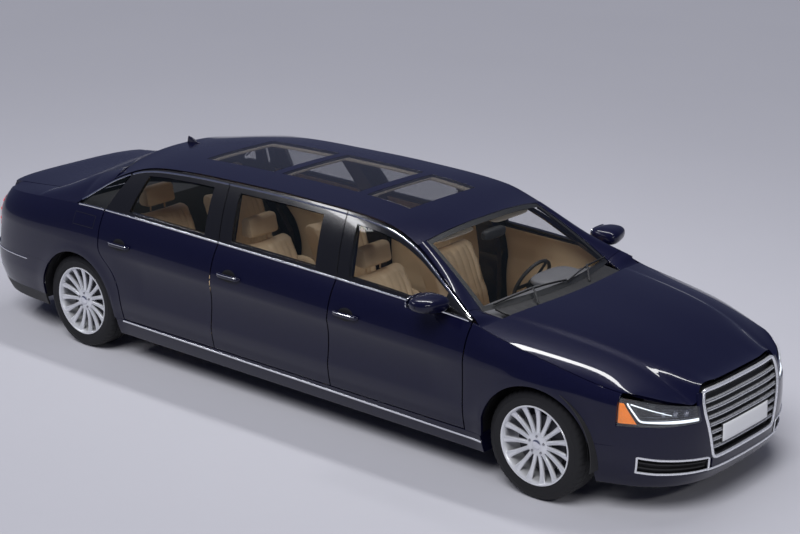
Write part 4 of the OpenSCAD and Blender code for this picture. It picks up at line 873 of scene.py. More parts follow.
@dataclass
class Door:
    """One side door, formed on the left: its painted panel, window frame, glass, card and handle."""

    index: int
    name: str
    posts: tuple[float, float]
    handle: tuple[float, float]
    thick: float = 62.0
    frame_thick: float = 36.0
    flap: float = 114.0
    bevel: float = 24.0
    belt_z: float = 1098.0
    handle_half: float = 108.0
    dish: tuple[float, float] = (64.0, 42.0)
    window_low: float = 0.08
    window_high: float = 0.86
    card_gap: float = 58.0
    card_length: float = 1120.0
    card_end: float = 0.955

    def edges(self, z: Array) -> tuple[float, Array]:
        """Front edge and rear edge at a height; the last door's rear edge follows the wheel arch."""
        front = FORM.door_front[self.index] - FORM.gap / 2
        if self.index == 2:
            return front, FORM.xr + FORM.rear_edge(z) + FORM.gap / 2 + 3
        return front, FORM.door_front[self.index + 1] + FORM.gap / 2 + 0 * z

    def along(self, u: Array, v: Array) -> Array:
        """X at share u of the door's length on row v; the length is taken at the row's height at the front edge."""
        front = FORM.door_front[self.index] - FORM.gap / 2
        x = FORM.xr + 300 if self.index == 2 else front
        z = np.where(v >= 2, self.belt_z, FORM.side_row(x + 0 * v, np.minimum(v, 2), FORM.door_bottom))
        return mix(front, self.edges(z)[1], u)

    def thickness(self, x: Array, v: Array, full: float) -> Array:
        """Depth of the door: a thin flap ahead of the hinge, full behind it, slimmer towards the belt."""
        front = FORM.door_front[self.index] - FORM.gap / 2
        t = np.where(v <= 1.4, full, mix(full, 44.0, clamp((v - 1.4) / 0.6)))
        return mix(6.0, t, ease((front - x - self.flap + 14) / 14))

    def panel(self) -> Mesh:
        """Painted panel below the belt: the side's face, and behind it the same face moved in by the thickness."""
        u = bands([0, 0.086, 0.105, 0.97, 1], [5, 3, 30, 3])
        v = bands([0, 0.4, 1, 2], [10, 17, 17])
        vv, uu = grid(v, u)
        x = self.along(uu, vv)
        outer = FORM.side(x, FORM.side_row(x, vv, FORM.door_bottom))
        xi = x + self.bevel * ease((uu - 0.9) / 0.1) - 8 * ease((0.02 - uu) / 0.02)
        inner = FORM.side(xi, FORM.side_row(xi, vv, FORM.door_bottom), self.thickness(xi, vv, self.thick))
        return shell(outer, inner)

    def window(self) -> tuple[float, float]:
        """Window edges as shares of the door's length."""
        front, rear = self.edges(np.array(self.belt_z))
        length = front - float(rear)
        return max(self.posts[0], self.flap + 30) / length, 1 - self.posts[1] / length

    def frame_mesh(self) -> Mesh:
        """Window frame: the windows' face with the glass opening left out."""
        a, b = self.window()
        u = bands([0, a, b, 1], [8, 22, 8])
        s = bands([0.0, self.window_low, self.window_high, 1.0], [3, 10, 5])
        ss, uu = grid(s, u)
        x = self.along(uu, 2 + ss)
        keep = ~(inside(mids(s), self.window_low, self.window_high)[:, None] & inside(mids(u), a, b)[None])
        h = np.maximum(FORM.rail_z(x + FORM.post_lean(x)) - FORM.shoulder_z(x), 60)
        si = ss - self.bevel / h * ease((ss - self.window_high) / 0.14)
        return shell(FORM.upper(x, ss, 2.5), FORM.upper(x, si, self.frame_thick), keep)

    def glass(self) -> Mesh:
        """Glass set 10 mm inside the windows' face, reaching a little under the frame."""
        a, b = self.window()
        ss, uu = grid(np.linspace(0.07, 0.872, 18), np.linspace(a - 0.006, b + 0.006, 24))
        x = self.along(uu, 2 + ss)
        return layer(FORM.upper, x, ss, (12, 17))

    def card(self) -> Mesh:
        """Inner door card: the side's face moved in by the door's depth, with a soft swell."""
        start, end = (self.flap + self.card_gap) / self.card_length, self.card_end
        low, high = 0.06, 1.96
        vv, uu = grid(bands([low, 0.4, 1, high], [8, 12, 12]), np.linspace(start, end, 30))
        x = self.along(uu, vv)
        base = self.thickness(x, vv, self.thick)
        edge = ease(np.minimum(np.minimum(uu - start, end - uu) / 0.03, np.minimum(vv - low, high - vv) / 0.12))
        swell = 6 + 12 * edge * np.where(vv > 1.4, clamp((high - vv) / 0.5), 1)
        return layer(FORM.side, x, FORM.side_row(x, vv, FORM.door_bottom), (base + 0.6, base + swell))

    def grip(self) -> tuple[Mesh, Mesh, Mesh]:
        """Handle bar that bows out from the side, its bright top line and a near-black oval dish behind it, painted
        shade of the handle's recess.

        Returns:
            Bar, bright line and painted-shade dish.
        """
        z = self.handle[1]
        x0 = float(self.edges(np.array(z))[1]) + self.handle[0]
        k = np.linspace(-1, 1, 41)
        x = x0 + self.handle_half * k
        out = 5 + 19 * np.sqrt(clamp(1 - np.abs(k) ** 5))
        path = FORM.side(x, z + 0 * x, -out)
        size = 0.55 + 0.45 * clamp((1 - np.abs(k)) / 0.25) ** 0.5
        bar = sweep(path, loop_section(32, 16, 3.2, 16), LEFTWARD, scale=size)
        line = sweep(path[3:-3] + np.array([0, 6.5, 7]), loop_section(6, 5, 2, 8), LEFTWARD)
        # The dish is a near-black oval laid on the side face: painted shade where the recess behind the handle would
        # be.
        rr, aa = grid(np.linspace(0, 1, 8), np.linspace(0, 2 * np.pi, 37))
        dx, dz = self.dish[0] * rr * np.cos(aa) - 8, self.dish[1] * rr * np.sin(aa)
        return bar, line, layer(FORM.side, x0 + dx, z + dz, (-1.4 * (1 - rr**6), 4))

    def build(self, side: Side) -> None:
        """Makes the door's pieces on one side.

        Args:
            side: Left or right.
        """
        body = f"{self.name}_door_{side.word}"
        bar, line, dish = self.grip()
        for word, mesh, finish, stands, bevel in (
            ("panel", self.panel(), PAINT, [body], 2.5), ("frame", self.frame_mesh(), GLOSS_BLACK, (), 2),
            ("card", self.card(), LEATHER, (), 4),
            ("window", self.glass(), GLASS, [f"{self.name}_glass_{side.word}"], 0),
            ("handle", bar, PAINT, (), 0), ("handle_line", line, CHROME, (), 0),
            # near-black oval under the handle: painted shade of its recess
            ("handle_dish", dish, PAINTED_SHADE_BLACK, (), 0),
        ):
            publish(f"{body}_{word}", on_side(mesh, side), finish, body, stands, bevel)


@dataclass
class Wings:
    """Fixed sides: fenders, quarters, sills, pillars with their feet, and arch liners."""

    thick: float = 12.0
    sill_seam: float = 0.4
    liner_y: float = 940.0
    lip: float = 10.0

    def wing(
        self, sill: Array, axle: float, arch: tuple[float, float, int], beyond: Array, low: float, slant: bool
    ) -> Mesh:
        """Panel over a wheel: its columns stand on a lower edge that runs along the sill, over the arch and on.

        Args:
            sill: X of the columns along the sill.
            axle: X of the wheel's middle.
            arch: First angle, last angle in degrees and steps round the arch.
            beyond: X of the columns beyond the arch.
            low: Height of the lower edge beyond the arch.
            slant: True where the first edge follows the rear door's.

        Returns:
            Points and four-sided faces.
        """
        a = np.radians(np.linspace(*arch))
        x = np.concatenate([sill, axle + FORM.arch_r * np.cos(a), beyond])
        edge = np.concatenate([np.full(len(sill), FORM.sill_top + self.sill_seam),
                               FORM.wheel_z + FORM.arch_r * np.sin(a), np.full(len(beyond), low)])
        vv, xx = grid(bands([0, 1, 2], [24, 20]), x)
        ll = np.broadcast_to(edge, xx.shape)
        z = FORM.wing_row(xx, ll, vv)
        if slant:
            w = (x[0] - xx) / (x[0] - x[-1])
            xx = xx + (1 - w) * (FORM.rear_edge(z) - FORM.rear_edge(ll))
            z = FORM.wing_row(xx, ll, vv)
        return layer(FORM.side, xx, z, (0.0, self.thick + self.lip * np.exp(-vv / 0.03)))

    def fender(self) -> Mesh:
        """Front fender, from the front door to the headlamp."""
        end = math.degrees(math.asin((FORM.fender_low - FORM.wheel_z) / FORM.arch_r))
        sill = np.linspace(FORM.door_front[0] + FORM.gap / 2, FORM.xf - FORM.arch_r - 3, 10)
        beyond = np.linspace(FORM.xf + FORM.arch_r, FORM.fender_front, 12)[1:]
        return self.wing(sill, FORM.xf, (166, end, 48), beyond, FORM.fender_low, False)

    def quarter(self) -> Mesh:
        """Rear quarter, from the rear door to the tail lamp."""
        end = 180 - math.degrees(math.asin((FORM.quarter_low - FORM.wheel_z) / FORM.arch_r))
        sill = np.linspace(FORM.xr + 490 - FORM.gap / 2, FORM.xr + FORM.arch_r + 3, 8)
        beyond = np.linspace(FORM.xr + FORM.arch_r * math.cos(math.radians(end)), FORM.quarter_rear, 26)[1:]
        return self.wing(sill, FORM.xr, (14, end, 46), beyond, FORM.quarter_low, True)

    def sill(self) -> Mesh:
        """Sill between the arches."""
        zz, xx = grid(np.linspace(FORM.sill_bottom, FORM.sill_top, 10),
                      np.linspace(FORM.xf - FORM.arch_r - 14, FORM.xr + FORM.arch_r + 14, 80))
        return shell(FORM.side(xx, zz), stack(xx, FORM.half_w - 234.5, zz))

    def pillar_foot(self) -> Mesh:
        """Corner between the windscreen pillar, the fender and the hood: a ruled sheet with a slight swell."""
        tt, uu = grid(np.linspace(0, 1, 24), np.linspace(0, 1, 16))
        x = mix(FORM.xf - 598, FORM.xf - 440, tt)
        near = ease((x - FORM.xf + 550) / 70)
        outer = stack(x, mix(FORM.rail_y(x) - 12, FORM.shut_y(x) - 16, near),
                      mix(FORM.rail_z(x) + 10, FORM.shoulder_z(x) - 4, near))
        foot = FORM.screen(np.array(1.0), np.array(0.0))
        inner = mix(foot, np.array([FORM.xf - 440, 640, 990]), tt[..., None])
        face = mix(outer, inner, uu[..., None]) + stack(0 * uu, 0 * uu, 40 * uu * (1 - uu) * (1 - tt))
        return shell(face, face - np.array([0, 0, 12.0]))

    def liners(self) -> Mesh:
        """Arch liners over the left wheels: a little more than half a cylinder each."""
        made = []
        for x, room, y0 in ((FORM.xf, 33, 476.0), (FORM.xr, 14, 636.0)):
            r = FORM.arch_r + room
            aa, yy = grid(np.radians(np.linspace(-8, 188, 60)), np.linspace(y0, self.liner_y, 8))
            made.append(shell(*(stack(x + q * np.cos(aa), yy, FORM.wheel_z + q * np.sin(aa)) for q in (r, r + 5))))
        return join(made)

    def build(self) -> None:
        """Makes the fixed sides."""
        publish("front_fender_panels", both(self.fender()), PAINT, "body", ["front_fenders"], bevel=2.5)
        publish("quarter_panels", both(self.quarter()), PAINT, "body", ["rear_quarters"], bevel=2.5)
        publish("sill_panels", both(self.sill()), PAINT, "body", ["sills"], bevel=3)
        tt, uu = grid(np.linspace(0, 1, 60), np.linspace(0, 1, 14))
        slant = stack(0 * tt, -50 * (1 - uu), 0 * tt)
        pillar = shell(FORM.pillar(tt, uu, -1.2), FORM.pillar(tt, uu, 24) + slant)
        publish("screen_pillars", both(pillar), PAINT, "body", bevel=2)
        publish("pillar_feet", both(self.pillar_foot()), PAINT, "body", bevel=2)
        publish("arch_liners", both(self.liners()), SATIN_BLACK, "body")
        tt, uu = grid(bands([0, 1, 2], [42, 20]), np.linspace(0, 1, 18))
        slant = stack(0 * tt, -38 * (1 - uu) * ease(2 * (1 - tt)), 0 * tt)
        publish("rear_pillars", both(shell(FORM.rear_pillar(tt, uu), FORM.rear_pillar(tt, uu, 18) + slant)), PAINT,
                "body", bevel=2)


@dataclass
class Roof:
    """Roof panel with three dark glass panels and the aerial fin."""

    panes: tuple[tuple[float, float], ...] = ((1492, 1872), (1952, 2672), (2752, 3432))
    pane_share: float = 0.54
    pane_fit: float = 2.5
    pane_edge: float = 0.537
    lining_share: float = 0.48
    lining_rim: float = 30.0
    thick: float = 20.0
    blend: float = 330.0

    def point(self, x: Array, c: Array, d: Array | float) -> Array:
        """Roof point: c is the share of the half width; the front and rear edges bow as parabolas."""
        front = ease((x - FORM.roof_front + self.blend) / self.blend)
        rear = ease((FORM.roof_rear + self.blend - x) / self.blend)
        xe = x + FORM.roof_bow * (1 - c * c) * front - FORM.roof_rear_bow * (1 - c * c) * rear
        y = c * (FORM.rail_y(x) - FORM.edge_in)
        return stack(xe, y, FORM.roof_z(xe, y) - d)

    def solid(self, x: Array, c: Array, rim: float, share: float) -> Array:
        """Truth value of each cell of a grid: False over a pane less its rim, within a share of the half width."""
        over = np.any([inside(mids(x), FORM.xf - rear + rim, FORM.xf - front - rim) for front, rear in self.panes], 0)
        return ~(over[:, None] & (np.abs(mids(c)) < share)[None])

    def fin(self) -> Mesh:
        """Aerial fin: it rises to the rear as a power of a sine and ends steeply."""
        t = np.linspace(0, 1, 24)
        x = FORM.xr + 292 + mix(75, -75, t)
        rise = 55 * np.sin(np.pi / 2 * t) ** 1.6 * clamp((1 - t) / 0.08) ** 0.5
        half = 9 * np.sin(np.pi * clamp(0.12 + 0.8 * t)) ** 0.7 + 1.0
        a = np.linspace(0, 2 * np.pi, 20, endpoint=False)
        across = half[:, None] * np.cos(a)
        up = rise[:, None] * clamp(np.sin(a)) ** 0.7 - 1.5 * clamp(-np.sin(a))
        return tube(stack(x[:, None], across, FORM.roof_z(x, 0 * x)[:, None] + 0.2 + up))

    def build(self) -> None:
        """Makes roof, glass, lining and fin."""
        cuts = [v for front, rear in self.panes for v in (FORM.xf - front, FORM.xf - rear)]
        rows = bands([FORM.roof_front, *cuts, FORM.roof_rear], [12, 12, 3, 20, 3, 18, 16])
        cols = bands([-1, -self.pane_share, self.pane_share, 1], [15, 22, 15])
        xx, cc = grid(rows, cols)
        slant = stack(0 * xx, 40 * np.sign(cc) * ease((np.abs(cc) - 0.9) / 0.1), 0 * xx)
        keep = self.solid(rows, cols, 0.0, self.pane_share)
        skin = shell(self.point(xx, cc, 0), self.point(xx, cc, self.thick) - slant, keep)
        publish("roof_skin", skin, PAINT, "body", ["roof_panel"], bevel=2)
        panes = []
        for front, rear in self.panes:
            x = np.linspace(FORM.xf - front - self.pane_fit, FORM.xf - rear + self.pane_fit, 20)
            panes.append(layer(self.point, *grid(x, np.linspace(-self.pane_edge, self.pane_edge, 24)), (0.5, 8)))
        publish("roof_panes", join(panes), ROOF_GLASS, "body", ["roof_glass"], bevel=1.5)
        rows, cols = np.linspace(FORM.roof_front - 60, FORM.roof_rear + 60, 56), np.linspace(-0.9, 0.9, 30)
        keep = self.solid(rows, cols, self.lining_rim, self.lining_share)
        publish("headliner", layer(self.point, *grid(rows, cols), (22, 32), keep), LINING, "body")
        publish("aerial_fin", self.fin(), PAINT, "body")


@dataclass
class Lids:
    """Hood and boot lid."""

    thick: float = 20.0
    seam: float = 8.0
    plate_half: float = 300.0
    plate_z: float = 870.0

    def hood_point(self, c: Array, t: Array, d: float = 0.0) -> Array:
        """Hood point: c across, t from the rear edge to the front lip. Two creases run in towards the grille's
        corners: outside them the skin drops by a smooth step."""
        k = np.abs(c)
        end = FORM.fender_front - 2
        xs = mix(FORM.xf - 464, end, t)
        ys = FORM.shut_y(xs) - self.seam
        wide = FORM.shut_y(np.array(end))
        b = wide / FORM.plan(np.array(end), np.array(795.0))
        yf = (wide - self.seam) * c
        lip = FORM.hood_lip(k) + self.seam
        xa, xe = FORM.xf - 372 - 92 * c * c, FORM.front_x(yf, lip, b) - self.seam
        zs = FORM.shoulder_z(xs) + 2
        zc = FORM.hood_fall(t)
        zt = zc - (zc - zs) * k**3.4
        line = mix(0.74, 0.56, t)
        swell = np.sin(np.pi * clamp(t * 0.94 + 0.06)) ** 0.6
        rise = 9 * ease((line + 0.02 - k) / 0.05) * swell - 4 * ease(1 - k / line)
        z = mix(zt + rise * clamp((1 - k) / 0.2), lip, t**6 * (1 - k**8)) - d
        x = mix(xa, xe, t) + d * (0.5 * ease((0.02 - t) / 0.02) - ease((t - 0.98) / 0.02))
        y = c * ys - np.sign(c) * d * 1.4 * ease((k - 0.93) / 0.07)
        return stack(x, y, z)

    def lid_points(self, d: float) -> Array:
        """Boot lid: rows run back over the deck, turn at the lip and go down the tail, dished for the plate."""
        c = np.linspace(-1, 1, 53)
        tt, cc = grid(np.linspace(0, 1, 34), c)
        y = FORM.lid_half * cc
        xa = FORM.rear_low_x - 55 * (1 - cc * cc) - FORM.gap - 1
        xe = FORM.rear_at(y, 1040 + 0 * y)[..., 0]
        x = mix(xa, xe, tt)
        top = stack(x - 0.4 * d * (tt == 0) + d * ease((tt - 0.97) / 0.03), y, FORM.deck_z(x, y) - d)
        zz, cc = grid(np.linspace(1022, FORM.lamp_low + 8, 34), c)
        dish = 7 * ease((700 - np.abs(zz - self.plate_z) * 6) / 200) * ease(
            (self.plate_half - np.abs(cc * FORM.lid_half)) / 30)
        tail = FORM.rear_at(FORM.lid_half * cc, zz, d + dish)
        return np.concatenate([top, tail])

    def build(self) -> None:
        """Makes both lids."""
        tt, cc = grid(bands([0, 0.9, 1], [46, 20]), np.linspace(-1, 1, 85))
        hood = layer(self.hood_point, cc, tt, (0.0, self.thick))
        publish("hood_skin", hood, PAINT, "hood", ["hood"], bevel=2.5)
        publish("boot_skin", shell(self.lid_points(0), self.lid_points(self.thick)), PAINT, "boot_lid", ["boot_lid"],
                bevel=2.5)


@dataclass
class Screens:
    """Windscreen, rear window, quarter windows, cowl and wipers."""

    glass: float = 5.0
    border_t: tuple[float, float] = (0.06, 0.94)
    border_c: float = 0.95
    blades: tuple[tuple[float, float], ...] = ((40.0, 610.0), (-560.0, 40.0))

    def cowl(self) -> Mesh:
        """Cowl between the hood and the windscreen, with slots as a square wave across it."""
        uu, yy = grid(np.linspace(0, 1, 12), np.linspace(-600, 600, 80))
        xa = FORM.xf - 372 - 92 * (yy / 790) ** 2 - FORM.gap - 3
        edge = FORM.screen(yy / FORM.screen_low, 0 * yy)
        slots = 3.0 * (np.sin(yy / 6.0) > 0.2) * ease(1 - np.abs(uu - 0.5) / 0.35)
        top = stack(mix(xa, edge[..., 0] - 3, uu), yy, edge[..., 2] - 6 - 16 * (1 - uu) - slots)
        return shell(top, top - 10 * UPWARD)

    def wipers(self) -> Mesh:
        """Two blades along the foot of the windscreen and their arms."""
        made = []
        k, q = np.linspace(0, 1, 30), np.linspace(0, 1, 8)
        for y0, y1 in self.blades:
            face = FORM.screen(mix(y0, y1, k) / 640, 0.035 + 0.05 * np.sin(np.pi * k * 0.9))
            path = face + np.array([7.0, 0, 11.0])
            made.append(sweep(path, loop_section(9, 16, 3, 10), np.array([0.5, 0, 0.866])))
            hold = path[15]
            pivot = np.array([hold[0] + 110, y0 * 0.4 + y1 * 0.6 - 150, 1024])
            arm = mix(hold, pivot, q[:, None])
            arm[:, 2] += 12 * np.sin(np.pi * q) + 10
            made.append(sweep(arm, loop_section(14, 8, 3, 10), np.array([0.3, 0, 0.95])))
        return join(made)

    def build(self) -> None:
        """Makes the fixed glass and what lies around it."""
        low, high = self.border_t
        tt, cc = grid(np.linspace(0, 1, 32), np.linspace(-1, 1, 40))
        tb = bands([0, low, high, 1], [3, 30, 3])
        cb = bands([-1, -self.border_c, self.border_c, 1], [3, 40, 3])
        keep = ~(inside(mids(tb), low, high)[:, None] & (np.abs(mids(cb)) < self.border_c)[None])
        tb, cb = grid(tb, cb)
        faces = (("windscreen", FORM.screen, "windscreen"), ("rear", FORM.rear_screen, "rear_window"))
        for name, face, node in faces:
            publish(name + "_glass", layer(face, cc, tt, (0.0, self.glass)), GLASS, "body", [node])
        for name, face, _ in faces:
            border = layer(face, cb, tb, (self.glass + 0.4, self.glass + 2), keep)
            publish(name + "_border", border, SATIN_BLACK, "body")
        ss, xx = grid(np.linspace(0.02, 0.95, 14), np.linspace(FORM.xr + 243, FORM.xr - 2, 24))
        publish("quarter_glass", both(layer(FORM.upper, xx, ss, (3, 8))), GLASS, "body", ["quarter_windows"])
        publish("cowl_cover", self.cowl(), SATIN_BLACK, "body", ["cowl"])
        publish("wipers", self.wipers(), SATIN_BLACK, "body")


@dataclass
class Nose:
    """Front bumper, intakes, grille, plate and headlamps."""

    bars: int = 7
    corner_y: float = 700.0
    grille_seam: float = 4.0
    open_from: float = 0.5
    open_to: float = 1.3
    lamp_to: float = 1.62
    bar_inset: float = 26.0
    bar_half_gap: float = 5.5
    lamp_top: tuple[float, float] = (700.0, 772.0)
    lamp_from: float = 456.0
    lines: tuple[tuple[Sequence[float], Sequence[float]], ...] = (
        ((0, 1, 2), (196, 200, 205)), ((0, 0.5, 0.8, 1.25, 2), (270, 276, 288, 306, 310)),
        ((0, 0.5, 0.56, 1.0, 1.3, 1.6, 2), (336, 347, 364, 396, 414, 474.6, 474.6)),
        ((0, 2), (604.6, 604.6)), ((0, 2), (770, 770)))
    plate_half: float = 260.0
    plate_low: float = 424.0
    plate_high: float = 536.0
    holder_rim: float = 8.0

    def y_b(self, x: Array, z: Array) -> Array:
        """Side face continued round the nose with the fender's section."""
        return (FORM.half_w - FORM.inset(np.minimum(x, FORM.fender_front), z)) * FORM.plan(x, z) + FORM.flare(x, z)

    def skin_point(self, q: Array, z: Array, d: float = 0.0) -> Array:
        """Point on the bumper: q 0 to 0.5 across the grille, to 1 out to the corner, to 2 round it to the arch."""
        yg = FORM.grille_w(z) + self.grille_seam
        y = np.where(q <= 0.5, yg * q / 0.5, mix(yg, self.corner_y, clamp((q - 0.5) / 0.5)))
        front = FORM.front_at(y, z)
        h = np.maximum(z - FORM.wheel_z, 0)
        arch = FORM.xf + np.sqrt(np.maximum(FORM.arch_r**2 - h**2, 0)) + 4
        x = mix(FORM.front_at(self.corner_y + 0 * z, z)[..., 0], arch, clamp(q - 1))
        side = stack(x, self.y_b(x, z), z)
        p = np.where((q <= 1)[..., None], front, side)
        turn = ease((q - 0.7) / 0.9)
        return p - d * stack(1 - 0.9 * turn, turn, 0 * turn)

    def line(self, q: Array, which: int) -> Array:
        """Heights of the bumper's lines across q: bottom, lower and upper intake lines, lamp line, top."""
        return np.interp(q, *self.lines[which])

    def bumper(self) -> Mesh:
        """Painted bumper between its lines, with the grille and the side intakes left open."""
        half = bands([0, self.open_from, 0.56, 1.0, self.open_to, self.lamp_to, 2.0], [12, 3, 16, 14, 12, 10])
        q = np.concatenate([-half[::-1], half[1:]])
        v = bands([0, 1, 2, 3, 4], [12, 8, 14, 8])
        vv, qq = grid(v, q)
        k = np.abs(qq)
        low = np.minimum(vv.astype(int), 3)
        z = np.zeros_like(vv)
        for r in range(4):
            z = np.where(low == r, mix(self.line(k, r), self.line(k, r + 1), vv - r), z)
        outer, inner = self.skin_point(k, z), self.skin_point(k, z, 16)
        lip = 6 * np.exp(-((vv - 0.9) / 0.25) ** 2)
        outer = outer + stack(lip * (k < 1.5), 0 * lip, 0 * lip)
        sign = np.where(qq < 0, -1.0, 1.0)
        outer[..., 1] *= sign
        inner[..., 1] *= sign
        mq, mv = np.abs(mids(q)), mids(v)[:, None]
        keep = (mv < 1) | ((mv < 2) & ~inside(mq, self.open_from, self.open_to))
        keep |= inside(mv, 2, 3) & inside(mq, self.open_from, self.lamp_to)
        keep |= (mv > 3) & inside(mq, self.open_from, 0.56)
        return shell(outer, inner, keep)

    def intake(self) -> tuple[Mesh, Mesh, Mesh]:
        """Left side intake: a near-black back wall, real black plastic darkened as painted shade of the opening, two
        slats and the bright line round it.

        Returns:
            Back wall (painted shade), slats and bright line.
        """
        vv, qq = grid(np.linspace(-0.1, 1.1, 12), np.linspace(0.52, 1.34, 40))
        z = mix(self.line(qq, 1), self.line(qq, 2), vv)
        back = layer(self.skin_point, qq, z, (26, 34))
        slats = []
        for share in (0.36, 0.68):
            q = np.linspace(0.58, 1.3, 30)
            zz = mix(self.line(q, 1), self.line(q, 2), share)
            slats.append(sweep(self.skin_point(q, zz, 12), loop_section(7, 16, 4, 10), np.array([1.0, 0.5, 0])))
        q = np.linspace(0.54, 1.285, 60)
        low, top = self.line(q, 1) + 3, self.line(q, 2) - 2
        end = mix(low[-1], top[-1], np.linspace(0, 1, 10))
        ring = np.concatenate([self.skin_point(q, low, -1), self.skin_point(np.full(10, q[-1]), end, -1)[1:-1],
                               self.skin_point(q, top, -1)[::-1]])
        line = sweep(ring, loop_section(14, 10, 2.6, 10), np.array([0.8, 0.6, 0]), closed=True)
        return back, join(slats), line

    def grille_path(self, inset: float, d: float) -> Array:
        """Loop along the grille's edge, moved in by inset and back by d, with rounded corners."""
        n = 24
        lo, hi = FORM.grille_low + inset, FORM.grille_high - inset
        zs = bands([lo, 640, 720, hi], [n, 8, 10])
        right = np.stack([FORM.grille_w(zs) - inset, zs], -1)
        top = np.stack([np.linspace(right[-1, 0], -right[-1, 0], 2 * n)[1:-1], np.full(2 * n - 2, hi)], -1)
        bottom = np.stack([np.linspace(-right[0, 0], right[0, 0], 2 * n)[1:-1], np.full(2 * n - 2, lo)], -1)
        loop = np.concatenate([right, top, right[::-1] * [-1, 1], bottom])
        for _ in range(6):
            loop = (np.roll(loop, 1, 0) + 2 * loop + np.roll(loop, -1, 0)) / 4
        return FORM.front_at(loop[:, 0], loop[:, 1], d)

    def build_grille(self) -> None:
        """Bright frame, double cross bars, the near-black wall and inner rim behind them, partly real black backing
        and partly painted shade of the grille's depth, and the blank plate.
        """
        ring = sweep(self.grille_path(9, 9), loop_section(24, 24, 3, 16), FORWARD, closed=True)
        rim = sweep(self.grille_path(26, 16), loop_section(10, 22, 3, 12), FORWARD, closed=True)
        publish("grille_frame", ring, SATIN_CHROME, "body", ["grille"])
        bars = []
        lo, hi = FORM.grille_low + self.bar_inset, FORM.grille_high - self.bar_inset
        pitch = (hi - lo) / (self.bars + 1)
        for k in range(1, self.bars + 1):
            for off, d in ((-self.bar_half_gap, 14), (self.bar_half_gap, 17)):
                z = lo + k * pitch + off
                w = float(FORM.grille_w(np.array(z))) - 22
                path = FORM.front_at(np.linspace(-w, w, 40), np.full(40, z), d)
                bars.append(sweep(path, loop_section(6, 18, 2.6, 10), FORWARD))
        publish("grille_bars", join(bars), SATIN_CHROME, "body")
        zz, cc = grid(np.linspace(FORM.grille_low + 4, FORM.grille_high - 4, 16), np.linspace(-1, 1, 30))
        wall = layer(FORM.front_at, cc * (FORM.grille_w(zz) - 4), zz, (46, 52))
        # wall and inner rim in near-black: painted shade behind the bars, over the real black backing
        publish("grille_back", join([wall, rim]), PAINTED_SHADE_BLACK, "body")
        low, high, half, rim_w = self.plate_low, self.plate_high, self.plate_half, self.holder_rim
        zz, cc = grid(np.linspace(low, high, 12), np.linspace(-1, 1, 40))
        edge = ease(np.minimum((1 - np.abs(cc)) * half / 6, np.minimum(zz - low, high - zz) / 6))
        face = FORM.front_at(cc * half, zz, 3.5) + stack(2.5 * edge, 0 * edge, 0 * edge)
        publish("front_plate", shell(face, FORM.front_at(cc * half, zz, 7)), PLATE, "body", bevel=1)
        zz, cc = grid(np.linspace(low - rim_w, high + rim_w, 12), np.linspace(-1, 1, 40))
        holder = layer(FORM.front_at, cc * (half + rim_w), zz, (7.2, 16))
        publish("plate_holder", holder, SATIN_BLACK, "body", bevel=2)

    def lamp(self, k: Array, s: Array, d: Array | float = 0.0) -> Array:
        """Headlamp face: k from the grille to the fender, s from the bottom to the top, d behind the lens."""
        z = mix(FORM.lamp_bottom, mix(*self.lamp_top, k), s)
        y0 = np.maximum(self.lamp_from, FORM.grille_w(z) + 24)
        far = FORM.fender_front + 8
        y1 = FORM.side_y(far + 0 * z, z)
        y = mix(y0, y1, k)
        x = FORM.front_x(y, z, y1 / FORM.plan(far + 0 * z, z))
        return stack(x - d, y - 0.6 * d * k, z)

    def build_lamps(self) -> None:
        """Lens, dark bowl, light guides, fins, projectors and the amber corner on each side."""
        ss, kk = grid(np.linspace(0, 1, 18), np.linspace(0, 1, 36))
        publish("headlamp_lens", both(layer(self.lamp, kk, ss, (0.0, 4))), LENS, "body", ["headlamps"], bevel=1.5)
        depth = 14 + 46 * ease(np.minimum(np.minimum(kk, 1 - kk) / 0.1, np.minimum(ss, 1 - ss) / 0.2))
        publish("headlamp_bowl", both(layer(self.lamp, kk, ss, (depth, depth + 5))), GLOSS_BLACK, "body")
        k = np.linspace(0.03, 0.82, 60)
        low = self.lamp(k, 0.15 + 0.06 * k, 12)
        h = np.linspace(0, 1, 24)
        rise = self.lamp(mix(0.82, 0.93, h), mix(0.2, 0.86, h), 12)
        path = smoothed(np.concatenate([low, rise[1:]]), 6)
        thin = 1 - 0.45 * ease(np.linspace(-0.6, 1.4, len(path)))
        tick = self.lamp(mix(0.9, 0.46, h), mix(0.84, 0.5, h), 13)
        facing = np.array([1.0, 0.4, 0])
        guides = [sweep(path, loop_section(19, 10, 3, 12), facing, scale=thin),
                  sweep(tick, loop_section(8, 6, 3, 10), facing, scale=1 - 0.5 * h)]
        publish("headlamp_light_guide", both(join(guides)), LAMP_LIGHT, "body")
        fins, eyes = [], []
        for row in range(5):
            k = np.linspace(0.05, 0.8 - 0.06 * row, 30)
            fins.append(sweep(self.lamp(k, 0.32 + 0.115 * row - 0.04 * k, 30), loop_section(4, 30, 4, 10), facing))
        for k0, s0, r in ((0.2, 0.56, 19), (0.38, 0.55, 19), (0.55, 0.53, 17)):
            dome_a = np.linspace(0.05, np.pi / 2, 8)
            dome = np.stack([r * np.sin(dome_a), 8 + 9 * np.cos(dome_a)], -1)
            ball = lathe(np.concatenate([dome, [[r * 0.5, 2], [2, 2]]]), 24)
            eyes.append(place(ball, self.lamp(np.array(k0), np.array(s0), 34), turned("z", -68.0)))
        publish("headlamp_fins", both(join(fins)), LAMP_SILVER, "body")
        publish("headlamp_projectors", both(join(eyes)), LAMP_SILVER, "body")
        ss, q = grid(np.linspace(0.1, 0.84, 20), np.linspace(0, 1, 14))
        kk = mix(mix(0.85, 0.955, (ss - 0.1) / 0.74), 0.988, q)
        publish("headlamp_amber", both(layer(self.lamp, kk, ss, (8, 16))), AMBER, "body", bevel=2)

